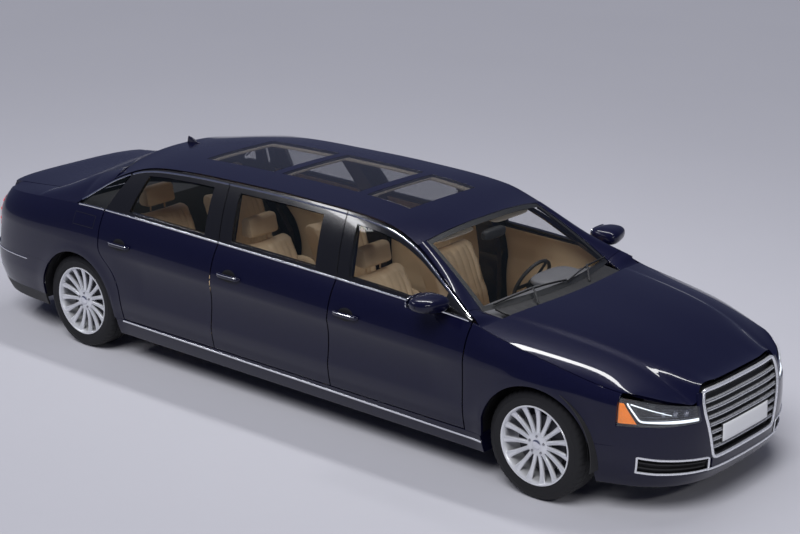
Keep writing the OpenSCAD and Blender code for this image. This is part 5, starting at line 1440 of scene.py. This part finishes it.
    def build(self) -> None:
        """Makes the whole nose."""
        publish("front_bumper_skin", self.bumper(), PAINT, "body", ["front_bumper"], bevel=2.5)
        back, slats, line = self.intake()
        # near-black back wall: painted shade of the intake opening over its real black plastic
        publish("intake_back", both(back), PAINTED_SHADE_BLACK, "body")
        publish("intake_slats", both(slats), SATIN_BLACK, "body")
        publish("intake_line", both(line), SATIN_CHROME, "body")
        q = np.linspace(0.56, 0, 36)
        half = self.skin_point(q, self.line(q, 1) + 3, -5)
        path = np.concatenate([half, flip(half[-2::-1])])
        strip = sweep(path, loop_section(14, 10, 2.6, 10), FORWARD)
        publish("lower_bright_line", strip, SATIN_CHROME, "body")
        self.build_grille()
        self.build_lamps()


@dataclass
class Tail:
    """Rear bumper, lamps, strips, plate, boot tray and exhaust ends."""

    corner_y: float = 740.0
    wall: float = 16.0
    tray_x: tuple[float, float] = (-3046.0, -2392.0)
    tray_z: float = 334.0
    tray_rise: float = 420.0
    tray_flat: float = 0.86
    exhaust_at: tuple[float, float] = (520.0, 282.0)

    def point(self, q: Array, z: Array, d: float = 0.0) -> Array:
        """Point on the tail: q 0 to 1 from the middle out to the corner, to 2 round it to the arch."""
        rear = FORM.rear_at(self.corner_y * clamp(q), z)
        h = np.maximum(z - FORM.wheel_z, 0)
        arch = FORM.xr - np.sqrt(np.maximum(FORM.arch_r**2 - h**2, 0)) - 4
        x = mix(FORM.rear_at(self.corner_y + 0 * z, z)[..., 0], arch, clamp(q - 1))
        y = (FORM.half_w - FORM.inset(np.maximum(x, FORM.quarter_rear), z)) * FORM.plan(x, z) + FORM.flare(x, z)
        p = np.where((q <= 1)[..., None], rear, stack(x, y, z))
        turn = ease((q - 0.8) / 0.6)
        return p + d * stack(1 - turn, -turn, 0 * turn)

    def band(self, z0: float, z1: float, rows: int, reach: float, d: float, bow: float = 0.0) -> Mesh:
        """Part of the bumper between two heights, out to q = reach on both sides, bowed out in the middle."""
        q = np.linspace(-reach, reach, 89)
        zz, qq = grid(np.linspace(z0, z1, rows), q)
        push = -bow * np.sin(np.pi * (zz - z0) / (z1 - z0))
        outer, inner = self.point(np.abs(qq), zz, 0.0), self.point(np.abs(qq), zz, d)
        outer[..., 0] += push * (np.abs(qq) < 1.2)
        for g in (outer, inner):
            g[..., 1] *= np.where(qq < 0, -1.0, 1.0)
        return shell(outer, inner)

    def strip(self, z: float, q0: float, q1: float, size: tuple[float, float]) -> Mesh:
        """Bright strip along the tail at a height, on the left."""
        q = np.linspace(q0, q1, 60)
        return sweep(self.point(q, np.full(60, z), -1.5), loop_section(*size, 2.6, 10), np.array([-1.0, 0.3, 0]))

    def lamp(self, k: Array, z: Array, d: Array | float = 0.0) -> Array:
        """Tail lamp face: k from the quarter to the boot lid."""
        far = FORM.quarter_rear - 8
        y1 = FORM.side_y(far + 0 * z, z)
        y = mix(y1, FORM.lid_half + FORM.gap + 2, k)
        x = FORM.rear_x(y, z, y1 / FORM.plan(far + 0 * z, z))
        return stack(x + d, y - 0.6 * d * (1 - k), z)

    def tray(self) -> Mesh:
        """Boot tray: it carries the floor out to both quarters and turns up along them."""
        flat = self.tray_flat
        xx, cc = grid(np.linspace(*self.tray_x, 24), bands([-1, -flat, flat, 1], [12, 16, 12]))
        half = np.min([FORM.side_y(xx, np.full_like(xx, z)) for z in (340.0, 520.0, 764.0)], axis=0) - 34
        top = stack(xx, half * cc, self.tray_z + self.tray_rise * ease((np.abs(cc) - flat) / 0.14))
        return shell(top, top - 2.8 * UPWARD)

    def exhaust(self, profile: Sequence[Sequence[float]]) -> Mesh:
        """Turned profile, pressed flat to an oval, at the left exhaust's place."""
        points, faces = lathe(np.array(profile), 40)
        at = FORM.rear_at(*np.array(self.exhaust_at)) + 6 * FORWARD
        return place((points @ np.diag([1.55, 1.0, 0.62]), faces), at, turned("z", 90))

    def build(self) -> None:
        """Makes the whole tail."""
        seam, low = FORM.quarter_low - 0.4, 330
        upper = self.band(seam, FORM.lamp_low - 0.4, 16, 1.0, self.wall)
        middle = self.band(low, seam, 30, 2.0, self.wall, bow=5)
        publish("rear_bumper_skin", join([upper, middle]), PAINT, "body", ["rear_bumper"], bevel=2.5)
        publish("boot_tray", self.tray(), SATIN_BLACK, "body")
        publish("rear_valance", self.band(236, low - 0.5, 12, 2.0, self.wall), SATIN_BLACK, "body", bevel=2)
        line = join([self.strip(578, 0.0, 1.7, (9, 7)), self.strip(417, 0.5, 1.2, (8, 6))])
        publish("rear_bright_lines", both(line), CHROME, "body")
        zz, kk = grid(np.linspace(FORM.lamp_low, 950, 22), np.linspace(0, 1, 34))
        publish("tail_lamp_lens", both(layer(self.lamp, kk, zz, (0.0, 30))), RED_LENS, "body", ["tail_lamps"], bevel=2)
        guides, k = [], np.linspace(0.06, 0.95, 40)
        for z0, z1 in ((790.0, 796.0), (862.0, 874.0), (925.0, 932.0)):
            guides.append(sweep(self.lamp(k, mix(z0, z1, k), -1.0), loop_section(9, 5, 2.6, 10), BACKWARD))
        publish("tail_light_guides", both(join(guides)), RED_BAR, "body")
        guides, y = [], np.linspace(330, FORM.lid_half - 10, 30)
        for z in (800.0, 872.0, 930.0):
            guides.append(sweep(FORM.rear_at(y, np.full(30, z), -2), loop_section(9, 6, 2.6, 10), BACKWARD))
        zz, yy = grid(np.linspace(FORM.lamp_low + 22, 948, 20), np.linspace(320, FORM.lid_half - 2, 26))
        publish("lid_lamp_lens", both(layer(FORM.rear_at, yy, zz, (-2.5, 4))), RED_LENS, "boot_lid", bevel=2)
        publish("lid_light_guides", both(join(guides)), RED_BAR, "boot_lid")
        y = np.linspace(-560, 560, 80)
        bar = sweep(FORM.rear_at(y, np.full(80, 965.0), -4), loop_section(16, 9, 3, 12), BACKWARD)
        publish("lid_bright_bar", bar, CHROME, "boot_lid")
        zz, yy = grid(np.linspace(812, 924, 12), np.linspace(-1, 1, 40) * 258)
        publish("rear_plate", layer(FORM.rear_at, yy, zz, (-1.5, 6.9)), PLATE, "boot_lid", bevel=1)
        ring, core = [[58, 10], [54, 14], [50, 10], [50, -60], [58, -60]], [[49, -40], [2, -40], [2, -46], [49, -46]]
        publish("exhaust_ends", both(self.exhaust(ring)), CHROME, "body")
        # bores in near-black: painted shade inside the pipes
        publish("exhaust_bores", both(self.exhaust(core)), PAINTED_SHADE_BLACK, "body")


@dataclass
class Trim:
    """Bright lines round the side windows and along the sills, mirrors and fuel flap."""

    mirror_at: tuple[float, float, float] = (FORM.xf - 800, 994.0, 1112.0)

    def window_lines(self, x0: float, x1: float, n: int) -> Mesh:
        """Bright lines on the belt and under the roof edge, from x0 to x1."""
        x = np.linspace(x0, x1, n)
        made = []
        for s, d, width, lean in ((0.012, -1.0, 13, 0.1), (0.955, -0.5, 12, 0.4)):
            path = FORM.upper(x, np.full(n, s), d)
            made.append(sweep(path, loop_section(width, 6, 2.8, 12), np.array([0, 1.0, lean])))
        return join(made)

    def mirror(self) -> tuple[Mesh, Mesh, Mesh]:
        """Left door mirror: a rounded housing, the stalk and the glass.

        Returns:
            Housing, stalk and glass.
        """
        x0, y0, z0 = self.mirror_at
        a = np.linspace(0, 2 * np.pi, 48, endpoint=False)
        t = np.sin(np.linspace(-np.pi / 2, np.pi / 2, 41))[1:-1]
        k = fall(np.abs(t), 2.8)
        c, s = np.cos(a), np.sin(a)
        r = reach(c, s, 2.6)
        depth = np.where(c > 0, 94.0, 116.0)
        taper = 1 - 0.16 * t
        x = (c * r * depth)[None] * (k * taper)[:, None]
        x = np.maximum(x, -104.0) - 14 * t[:, None] * ease((c > 0) * 1.0)[None]
        z = (s * r * 55)[None] * (k * taper)[:, None] + 5 * t[:, None]
        housing = tube(stack(x0 + 6 + x, (y0 + 122 * t)[:, None] + 0 * x, z0 + z))
        q = np.linspace(0, 1, 12)
        seat = FORM.upper(np.array([x0 + 6.0]), np.array([0.16]), 4)[0]
        path = mix(seat[None], np.array([[x0 + 6, 930.0, z0 - 26]]), q[:, None])
        stalk = sweep(path, loop_section(62, 30, 3, 20), UPWARD, scale=1 - 0.25 * np.sin(np.pi * q))
        rr, aa = grid(np.linspace(0, 1, 10), np.linspace(0, 2 * np.pi, 49))
        dome = reach(np.cos(aa), np.sin(aa), 3)
        gy, gz = y0 + 98 * rr * dome * np.cos(aa), z0 + 1 + 41 * rr * dome * np.sin(aa)
        glass = shell(stack(x0 - 99.5 + 0 * gy, gy, gz), stack(x0 - 95 + 0 * gy, gy, gz))
        return housing, stalk, glass

    def build(self) -> None:
        """Makes the trim on both sides."""
        g = FORM.gap / 2
        edges = [*FORM.door_front, FORM.xr + 257]
        for k, name in enumerate(("front", "centre", "rear")):
            line = self.window_lines(edges[k] - g - (24 if k == 0 else 1), edges[k + 1] + g + 1, 70)
            for side in Side:
                body = f"{name}_door_{side.word}"
                publish(body + "_bright_lines", on_side(line, side), CHROME, body)
        line = self.window_lines(FORM.xr + 246, FORM.xr - 30, 40)
        publish("quarter_bright_lines", both(line), CHROME, "body")
        x = np.linspace(FORM.xf - 402, FORM.xr + 478, 160)
        z = np.interp(x, [-1490, 1850], [311, 273])
        sill = sweep(FORM.side(x, z, -2), loop_section(15, 8, 2.8, 12), LEFTWARD)
        publish("sill_bright_lines", both(sill), CHROME, "body")
        housing, stalk, glass = self.mirror()
        for side in Side:
            body = f"front_door_{side.word}"
            tag = f"mirror_{side.word}"
            publish(tag + "_housing", on_side(housing, side), PAINT, body, [tag])
            publish(tag + "_stalk", on_side(stalk, side), GLOSS_BLACK, body)
            publish(tag + "_glass", on_side(glass, side), CHROME, body)
        zz, xx = grid(np.linspace(962, 1046, 12), np.linspace(FORM.xr - 32, FORM.xr + 190, 26))
        flap = layer(FORM.side, xx, zz, (-0.8, 3))
        publish("fuel_flap", on_side(flap, Side.RIGHT), PAINT, "body", bevel=1)
        # The seam is a thin near-black line round the flap: painted shade of the gap.
        loop_x, loop_z = (np.concatenate([g[0], g[1:, -1], g[-1, ::-1][1:], g[::-1, 0][1:-1]]) for g in (xx, zz))
        seam = sweep(FORM.side(loop_x, loop_z, 0), loop_section(4, 2.2, 3, 8), LEFTWARD, closed=True)
        publish("fuel_flap_seam", on_side(seam, Side.RIGHT), PAINTED_SHADE_BLACK, "body")


@dataclass
class Wheel:
    """A road wheel with its tyre and brake: axis along Y, outer face towards +Y."""

    rim_r: float = 259.0
    tyre_r: float = 356.0
    half: float = 125.0
    spokes: int = 15
    bolts: int = 5
    bolt_r: float = 56.0
    grooves: tuple[float, float] = (58.0, 20.0)
    lugs: int = 48

    def tyre(self) -> Mesh:
        """Tyre: a turned profile with four grooves round it; short cross grooves cut the shoulders."""
        r, h, e = self.tyre_r, self.half, self.rim_r
        rows = [[e - 10, h - 22], [e + 1, h - 13], [e + 4, h - 7], [e + 14, h - 3], [e + 30, h - 0.5],
                [e + 44, h - 0.2], [e + 47, h + 1.0], [e + 50, h - 0.6], [r - 34, h - 4], [r - 22, h - 9],
                [r - 12, h - 17], [r - 5, h - 28], [r - 2, h - 36], [r - 1.4, h - 42]]
        for y in self.grooves:
            rows += [[r, y + 6], [r - 1, y + 5], [r - 7, y + 4], [r - 7, y - 4], [r - 1, y - 5], [r, y - 6]]
        half = np.array(rows)
        profile = np.concatenate([half, half[::-1] * [1, -1]])
        shoulder = (np.abs(profile[:, 1]) > 66) & (profile[:, 0] > r - 13)
        inner = (np.abs(profile[:, 1]) < 52) & (profile[:, 0] > r - 2)

        def cut(a: Array, i: Array) -> Array:
            """Cross grooves: narrow square waves of the angle, shifted along the width."""
            wave = np.cos(self.lugs * a + profile[i, 1] * 0.05) > 0.72
            fine = np.cos(self.lugs * a - profile[i, 1] * 0.09) > 0.86
            return -5.0 * (wave & shoulder[i]) - 3.0 * (fine & inner[i])

        return lathe(profile, 6 * self.lugs, cut)

    def rim(self) -> Mesh:
        """Rim barrel with a rounded outer lip, turned."""
        r, h = self.rim_r, self.half - 7
        outer = [[r - 24, -h], [r, -h], [r, -h + 6], [r - 13, -h + 14], [r - 13, h - 14], [r - 1, h - 6], [r, h - 1],
                 [r - 2, h + 2], [r - 7, h + 2.5], [r - 11, h], [r - 14, h - 8], [r - 20, h - 22], [r - 22, h - 44],
                 [r - 23, 0]]
        return lathe(np.array(outer), 128)

    def spoke(self) -> Mesh:
        """One spoke: a rounded section carried out from the hub; it is widest at both ends and dished."""
        t = np.linspace(0, 1, 18)
        r = mix(50.0, self.rim_r - 15, t)
        width = 24 + 4 * (1 - t) ** 3 + 8 * t + 16 * t**5
        face = 88 + 6 * t + 12 * t**4 - 3 * np.sin(np.pi * t)
        deep = 22 + 8 * np.sin(np.pi * t)
        ring = loop_section(1, 1, 3.0, 14)
        ridge = np.where(ring[:, 1] > 0.2, 1.0 - 0.6 * np.abs(ring[:, 0]), 1.0)
        z = ring[None, :, 0] * width[:, None]
        y = face[:, None] - deep[:, None] * (0.5 - ring[None, :, 1] * ridge[None])
        return tube(stack(np.broadcast_to(r[:, None], z.shape), y, z))

    def build(self, front: bool, side: Side) -> None:
        """Makes one wheel at its place.

        Args:
            front: True for a front wheel.
            side: Left or right.
        """
        tag = f"{'front' if front else 'rear'}_wheel_{side.word}"
        at = (FORM.xf if front else FORM.xr, side.value * FORM.wheel_y, FORM.wheel_z)
        hub = lathe(np.array([[3, 92], [40, 92], [66, 90], [76, 86], [78, 78], [78, 40], [3, 40]]), 64)
        cap = lathe(np.array([[1, 103], [20, 102], [29, 100], [33, 97], [34, 90], [1, 90]]), 48)
        # The brake disc takes the dark casting finish: cast iron, but darker than its bare metal, as painted shade in
        # the gaps between the spokes.
        disc = lathe(np.array([[70, 28], [178, 28], [178, 36], [176, 38], [72, 38], [70, 36]]), 96)
        head = lathe(np.array([[1, 98], [7.5, 98], [8.5, 96.5], [8.5, 86], [1, 86]]), 6)
        valve = lathe(np.array([[0.5, 24], [3, 24], [3.5, 20], [3.5, 0], [0.5, 0]]), 12)
        spoke, step = self.spoke(), 360.0 / self.spokes
        spokes = [place(spoke, (0, 0, 0), turned("y", step * k + 6)) for k in range(self.spokes)]
        angles = [math.radians(360 / self.bolts * k + 18) for k in range(self.bolts)]
        small = [place(head, (self.bolt_r * math.cos(a), 0, self.bolt_r * math.sin(a))) for a in angles]
        small.append(place(valve, (self.rim_r - 27, 84, 0)))
        for name, mesh, finish, stands in (
            ("alloy", join([self.rim(), hub, *spokes]), ALLOY, [tag]), ("cap", cap, CHROME, []),
            ("bolts", join(small), STEEL, []), ("tyre", self.tyre(), RUBBER, [tag.replace("wheel", "tyre")]),
            ("disc", disc, CAST, []),
        ):
            publish(f"{tag}_{name}", place(on_side(mesh, side), at), finish, tag, stands)


def smooth_loop(table: Sequence[Sequence[float]], count: int, even: float) -> Array:
    """Closed outline with points at even distances and corners rounded by a Gaussian of the given reach.

    Args:
        table: Corners of the outline.
        count: Points around.
        even: Standard deviation of the Gaussian, in millimetres.

    Returns:
        Points of the outline.
    """
    p = np.array(table, float)
    ring = np.concatenate([p, p[:1]])
    along = np.concatenate([[0], np.cumsum(np.linalg.norm(np.diff(ring, axis=0), axis=1))])
    s = np.linspace(0, along[-1], count, endpoint=False)
    loop = np.stack([np.interp(s, along, ring[:, k]) for k in range(2)], -1)
    d = np.minimum(s, along[-1] - s)
    kernel = np.exp(-0.5 * (d / even) ** 2)
    spectrum = np.fft.rfft(kernel / kernel.sum())
    return np.stack([np.fft.irfft(np.fft.rfft(loop[:, k]) * spectrum, count) for k in range(2)], -1)


def bolster(outline: Array, width: float, draw: float, steps: int = 30) -> Mesh:
    """Block with an outline in X and Z, drawn in towards its middle at both ends of Y like a filled cover.

    Args:
        outline: Points of X and Z.
        width: Whole width along Y.
        draw: Millimetres that the outline shrinks by at the ends.
        steps: Rings from end to end.

    Returns:
        Points and four-sided faces.
    """
    t = np.sin(np.linspace(-np.pi / 2, np.pi / 2, steps))
    k = 1 - fall(np.abs(t), 8)
    centre = outline.mean(0)
    far = np.linalg.norm(outline - centre, axis=1, keepdims=True)
    ring = centre + (outline - centre)[None] * (1 - draw * k[:, None, None] / far[None])
    y = np.broadcast_to((t * width / 2)[:, None], ring.shape[:2])
    return tube(stack(ring[..., 0], y, ring[..., 1]))


def filled(name: str, mesh: Mesh, voxel: float, pressure: float, cap: float) -> Mesh:
    """Cloth cover blown up by its filling: an even remesh, pressed outwards by the simulation, movement capped.

    Args:
        name: Name of the working object.
        mesh: Closed start form in millimetres.
        voxel: Size of the remesh in millimetres.
        pressure: Pressure of the filling.
        cap: Most that a point may move, in millimetres.

    Returns:
        Points in millimetres and four-sided faces.
    """
    scene = bpy.context.scene
    data = bpy.data.meshes.new(name)
    fill(data, *mesh)
    work = bpy.data.objects.new(name, data)
    scene.collection.objects.link(work)
    even = work.modifiers.new("even", "REMESH")
    even.mode, even.voxel_size = "VOXEL", voxel * MM
    cover = bpy.data.meshes.new_from_object(work.evaluated_get(bpy.context.evaluated_depsgraph_get()))
    work.modifiers.clear()
    work.data = cover
    start = np.empty(3 * len(cover.vertices))
    cover.vertices.foreach_get("co", start)
    end = start.copy()
    cloth = work.modifiers.new("fill", "CLOTH")
    cloth.settings.use_pressure = True
    cloth.settings.uniform_pressure_force = pressure
    cloth.settings.effector_weights.gravity = 0
    cloth.point_cache.frame_end = 20
    for step in range(1, 21):
        scene.frame_set(step)
    shown = work.evaluated_get(bpy.context.evaluated_depsgraph_get())
    shown.data.vertices.foreach_get("co", end)
    scene.frame_set(1)
    move = (end - start).reshape(-1, 3)
    size = np.linalg.norm(move, axis=1, keepdims=True)
    points = start.reshape(-1, 3) / MM + move / MM * np.minimum(1, cap * MM / np.maximum(size, 1e-9))
    corners = np.empty(len(cover.loops), np.int32)
    cover.loops.foreach_get("vertex_index", corners)
    bpy.data.objects.remove(work)
    return points, corners.reshape(-1, 4)


@dataclass
class Cabin:
    """Seats, dashboard, steering wheel, visors, consoles and carpet."""

    hips: tuple[tuple[float, float], ...] = ((620.5, 300.0), (-459.5, 300.0), (-1539.5, 330.4))
    seat_y: float = 372.0
    width: float = 548.0
    steer_at: tuple[float, float, float] = (1242.5, 372.0, 872.0)
    tilt: float = 25.0
    carpet_x: tuple[float, float] = (-1086.0, 1600.0)
    carpet_half: float = 728.0
    voxel: float = 11.0
    pressure: float = 4.0
    cap: float = 22.0
    pad_fill: float = 0.8
    channel: float = 64.0
    bolster_y: float = 170.0
    cushion_edge: tuple[tuple[float, float], ...] = (
        (6, 4), (512, 4), (548, 40), (556, 116), (530, 156), (474, 170), (100, 134), (6, 142))
    back_edge: tuple[tuple[float, float], ...] = (
        (2, 158), (84, 150), (50, 318), (-48, 556), (-114, 668), (-160, 688), (-206, 670), (-214, 636), (-84, 300))
    rest_edge: tuple[tuple[float, float], ...] = (
        (-200, 716), (-120, 716), (-110, 734), (-132, 842), (-152, 858), (-198, 858), (-216, 840), (-220, 732))

    def channels(self, points: Array) -> Array:
        """Sewn channels, as depths: grooves along the seat's middle at even steps and one along each bolster."""
        y = points[:, 1]
        step = self.channel
        middle = np.exp(-(((y / step - np.round(y / step)) * step / 8.5) ** 2)) * (np.abs(y) < 150)
        sides = np.exp(-(((np.abs(y) - 176) / 9) ** 2))
        return 6.0 * np.maximum(middle, 1.5 * sides)

    def pad(self, name: str, outline: Array) -> tuple[Array, Array, Array]:
        """Bolster of a seat, filled by simulation.

        Args:
            name: Name of the working object.
            outline: Side view, points of X and Z.

        Returns:
            Points, faces and how far each point belongs to a side bolster, 0 to 1.
        """
        points, faces = filled(name, bolster(outline, self.width - 16, 34), self.voxel, self.pressure, self.cap)
        return points, faces, ease((np.abs(points[:, 1]) - self.bolster_y) / 50)

    def cushion(self) -> Mesh:
        """Seat cushion, channelled along its top."""
        points, faces, side = self.pad("cushion_work", smooth_loop(self.cushion_edge, 140, 12))
        top = ease((points[:, 2] - 95) / 40)
        points[:, 2] -= self.channels(points) * top
        points[:, 2] += 10 * top * side
        points[:, 2] = np.maximum(points[:, 2], 2.0)
        return points, faces

    def back(self) -> Mesh:
        """Seat back, channelled on its front."""
        points, faces, side = self.pad("back_work", smooth_loop(self.back_edge, 150, 12))
        lean = np.interp(points[:, 2], [150, 320, 560, 680], [45, 0, -95, -160])
        front = ease((points[:, 0] - lean) / 30)
        points[:, 0] -= self.channels(points) * front
        points[:, 0] += 12 * front * side
        return points, faces

    def headrest(self) -> Mesh:
        """Headrest on two posts."""
        block = bolster(smooth_loop(self.rest_edge, 60, 9), 272, 26, 16)
        post = lathe(np.array([[6, 0], [6, 60], [0.5, 60], [0.5, 0]]), 12)
        posts = [place(post, (-165, y, 670), turned("x", 90)) for y in (-70, 70)]
        return join([block, *posts])

    def seats(self) -> None:
        """Makes six seats from one cushion, one back and one headrest."""
        cushion, back, rest = self.cushion(), self.back(), self.headrest()
        edge = smooth_loop(self.cushion_edge, 90, 12)
        nodes = {"cushions": ["seat_cushions"], "backs": ["seat_backs"], "headrests": []}
        for row, (x, z) in zip(("front", "centre", "rear"), self.hips):
            for word, mesh in (("cushions", cushion), ("backs", back), ("headrests", rest)):
                pair = join([place(mesh, (x, y, z)) for y in (-self.seat_y, self.seat_y)])
                piece = publish(f"{row}_seat_{word}", pair, LEATHER, "body", nodes[word] if row == "front" else ())
            rims = []
            for y in (-self.seat_y, self.seat_y):
                for s in (-1, 1):
                    path = stack(x + edge[:, 0], y + s * (self.width / 2 - 14) + 0 * edge[:, 0], z + edge[:, 1])
                    rims.append(sweep(path, loop_section(7, 7, 2, 8), LEFTWARD, closed=True))
            publish(f"{row}_seat_piping", join(rims), PIPING, "body")

    def front_end(self) -> None:
        """Makes the dashboard, its cowl over the dials, the steering wheel, the inner mirror and the visors."""
        xf = FORM.xf
        outline = smooth_loop([[xf - 524, 704], [xf - 524, 969], [xf - 700, 980], [xf - 852, 926], [xf - 872, 860],
                               [xf - 790, 726]], 120, 16)
        publish("dash_body", bolster(outline, 1396, 30, 60), GREY_DASH, "body", ["dashboard"])
        hood = place(pillow((240, 420, 70), 3, 24), (xf - 800, self.steer_at[1], 948))
        publish("dial_cowl", hood, GREY_DASH, "body")
        vents = [place(pillow((24, 170, 46), 4, 12), (xf - 866, y, 884)) for y in (-560, -90, 90, 590)]
        publish("dash_vents", join(vents), SATIN_BLACK, "body")
        a = np.linspace(0, 2 * np.pi, 18, endpoint=False)
        rim = lathe(np.stack([173.5 + 13 * np.cos(a), 13 * np.sin(a)], -1), 72)
        hub = lathe(np.array([[1, 4], [40, 3], [58, -4], [62, -14], [62, -30], [1, -30]]), 40)
        stem = lathe(np.array([[1, -20], [24, -20], [24, -116], [10, -117], [10, -155], [1, -155]]), 28)
        arms = []
        for degrees in (90.0, 200.0, 340.0):
            t = np.linspace(40, 168, 16)
            path = stack(t, -11 + 0 * t, 0 * t) @ turned("y", -degrees).T
            arms.append(sweep(path, loop_section(34, 12, 3, 14), LEFTWARD))
        lean = turned("y", self.tilt) @ turned("z", 90) @ turned("y", -90)
        parts = [place(m, self.steer_at, lean) for m in (rim, hub, stem, *arms)]
        publish("steering_wheel_rim", join(parts), SATIN_BLACK, "steering_wheel", ["steering_wheel"])
        eye = place(pillow((60, 230, 70), 4, 16), (FORM.roof_front + 100, 0, 1296))
        publish("inner_mirror", eye, SATIN_BLACK, "body")
        visor = pillow((150, 400, 14), 5, 16)
        visors = [place(visor, (FORM.roof_front - 40, y, 1345), turned("y", 14)) for y in (-300, 300)]
        publish("sun_visors", join(visors), LINING, "body")

    def build(self) -> None:
        """Makes the cabin."""
        self.seats()
        self.front_end()
        boxes = [place(pillow((size, 168, 246), 7, 24), (x, 0, 393)) for x, size in ((905.5, 616), (-189.5, 556))]
        publish("console_boxes", join(boxes), LEATHER, "body", ["consoles"])
        xx, yy = grid(np.linspace(*self.carpet_x, 40), np.linspace(-self.carpet_half, self.carpet_half, 24))
        publish("carpet", shell(stack(xx, yy, 206.0), stack(xx, yy, 200.4)), CARPET, "body")


BARE_NODES: dict[str, Finish] = {
    "floor_pan": SATIN_BLACK, "wheel_housings": SATIN_BLACK, "engine": CAST, "subframes": CAST, "hinge_pins": STEEL,
    "front_knuckle_left": CAST, "front_knuckle_right": CAST, "body_side_frames": PAINT,
}


def dress_bare_nodes() -> None:
    """Gives the solids that stay in sight their finishes."""
    for name, finish in BARE_NODES.items():
        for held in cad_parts[name].material_slots:
            held.material = finish.material()
        LOG.info("node %s: %s", name, finish.name)


@dataclass
class Studio:
    """Camera at the photograph's angle, pale floor and soft lamps."""

    camera_at: tuple[float, float, float] = (8.623, -9.589, 4.948)
    azimuth: float = 40.622
    elevation: float = 17.878
    lens: float = 85.57
    shift: tuple[float, float] = (-0.0032, 0.0029)
    sky: tuple[float, float, float] = (0.42, 0.47, 0.78)
    sky_strength: float = 0.17
    floor_half: float = 60000.0
    lamps: tuple[tuple, ...] = (
        ("overhead", (0.0, 1.2, 6.5), (7.4, 0.45), 240, (1, 1, 1)),
        ("shoulder", (-6.5, -4.0, 7.5), (5, 0.5), 120, (0.97, 0.97, 1)),
        ("nose", (10.0, -3.0, 5.5), (4, 0.5), 150, (1, 0.99, 0.97)))
    sun_power: float = 2.9
    sun_width: float = 34.0
    sun_turn: tuple[float, float] = (34.0, 12.0)
    aim: tuple[float, float, float] = (0.0, 0.0, 0.7)

    def camera(self) -> None:
        """Places the camera: it looks along the direction given by azimuth and elevation."""
        data = bpy.data.cameras.new("photo_camera")
        data.lens, data.sensor_width = self.lens, 36
        data.shift_x, data.shift_y = self.shift
        data.clip_end = 200
        eye = bpy.data.objects.new("photo_camera", data)
        bpy.context.scene.collection.objects.link(eye)
        eye.location = self.camera_at
        eye.rotation_euler = (math.radians(90 - self.elevation), 0, math.radians(self.azimuth))
        bpy.context.scene.camera = eye

    def lamp(self, name: str, at: Sequence[float], size: Sequence[float], power: float, tint: Sequence[float]) -> None:
        """Soft rectangular lamp turned to the middle of the car.

        Args:
            name: Lamp name.
            at: Place in metres.
            size: Width and height in metres.
            power: Watts.
            tint: Colour.
        """
        data = bpy.data.lights.new(name, "AREA")
        data.shape, data.size, data.size_y = "RECTANGLE", size[0], size[1]
        data.energy, data.color = power, tint
        lamp = bpy.data.objects.new(name, data)
        bpy.context.scene.collection.objects.link(lamp)
        lamp.location = at
        aim = np.array(self.aim) - np.array(at)
        flat = math.hypot(aim[0], aim[1])
        lamp.rotation_euler = (math.atan2(flat, -aim[2]), 0, math.atan2(aim[1], aim[0]) - math.pi / 2)

    def build(self) -> None:
        """Makes floor, light and camera."""
        scene = bpy.context.scene
        scene.view_settings.view_transform = "Standard"
        world = bpy.data.worlds.new("studio")
        scene.world = world
        world.use_nodes = True
        background = world.node_tree.nodes["Background"]
        background.inputs["Color"].default_value = (*self.sky, 1)
        background.inputs["Strength"].default_value = self.sky_strength
        data = bpy.data.meshes.new("studio_floor")
        corners = np.array([[-1, -1, 0], [1, -1, 0], [1, 1, 0], [-1, 1, 0]])
        fill(data, corners * self.floor_half, np.array([[0, 1, 2, 3]]))
        floor = bpy.data.objects.new("studio_floor", data)
        scene.collection.objects.link(floor)
        data.materials.append(FLOOR.material())
        for lamp in self.lamps:
            self.lamp(*lamp)
        data = bpy.data.lights.new("soft_sun", "SUN")
        data.energy, data.angle = self.sun_power, math.radians(self.sun_width)
        sun = bpy.data.objects.new("soft_sun", data)
        scene.collection.objects.link(sun)
        sun.rotation_euler = (math.radians(self.sun_turn[0]), math.radians(self.sun_turn[1]), 0)
        sun.visible_glossy = False
        self.camera()


def main() -> None:
    """Builds the car piece by piece, then the studio."""
    logging.basicConfig(level=logging.INFO, format="%(name)s: %(message)s")
    doors = (Door(0, "front", (240, 96), (160, 870)), Door(1, "centre", (190, 118), (180, 900)),
             Door(2, "rear", (75, 240), (230, 900)))
    for door in doors:
        for side in Side:
            door.build(side)
    for part in (Wings(), Roof(), Lids(), Screens(), Nose(), Tail(), Trim(), Cabin()):
        part.build()
    wheel = Wheel()
    for front in (True, False):
        for side in Side:
            wheel.build(front, side)
    dress_bare_nodes()
    Studio().build()
    bpy.context.view_layer.update()


if __name__ == "__main__":
    main()
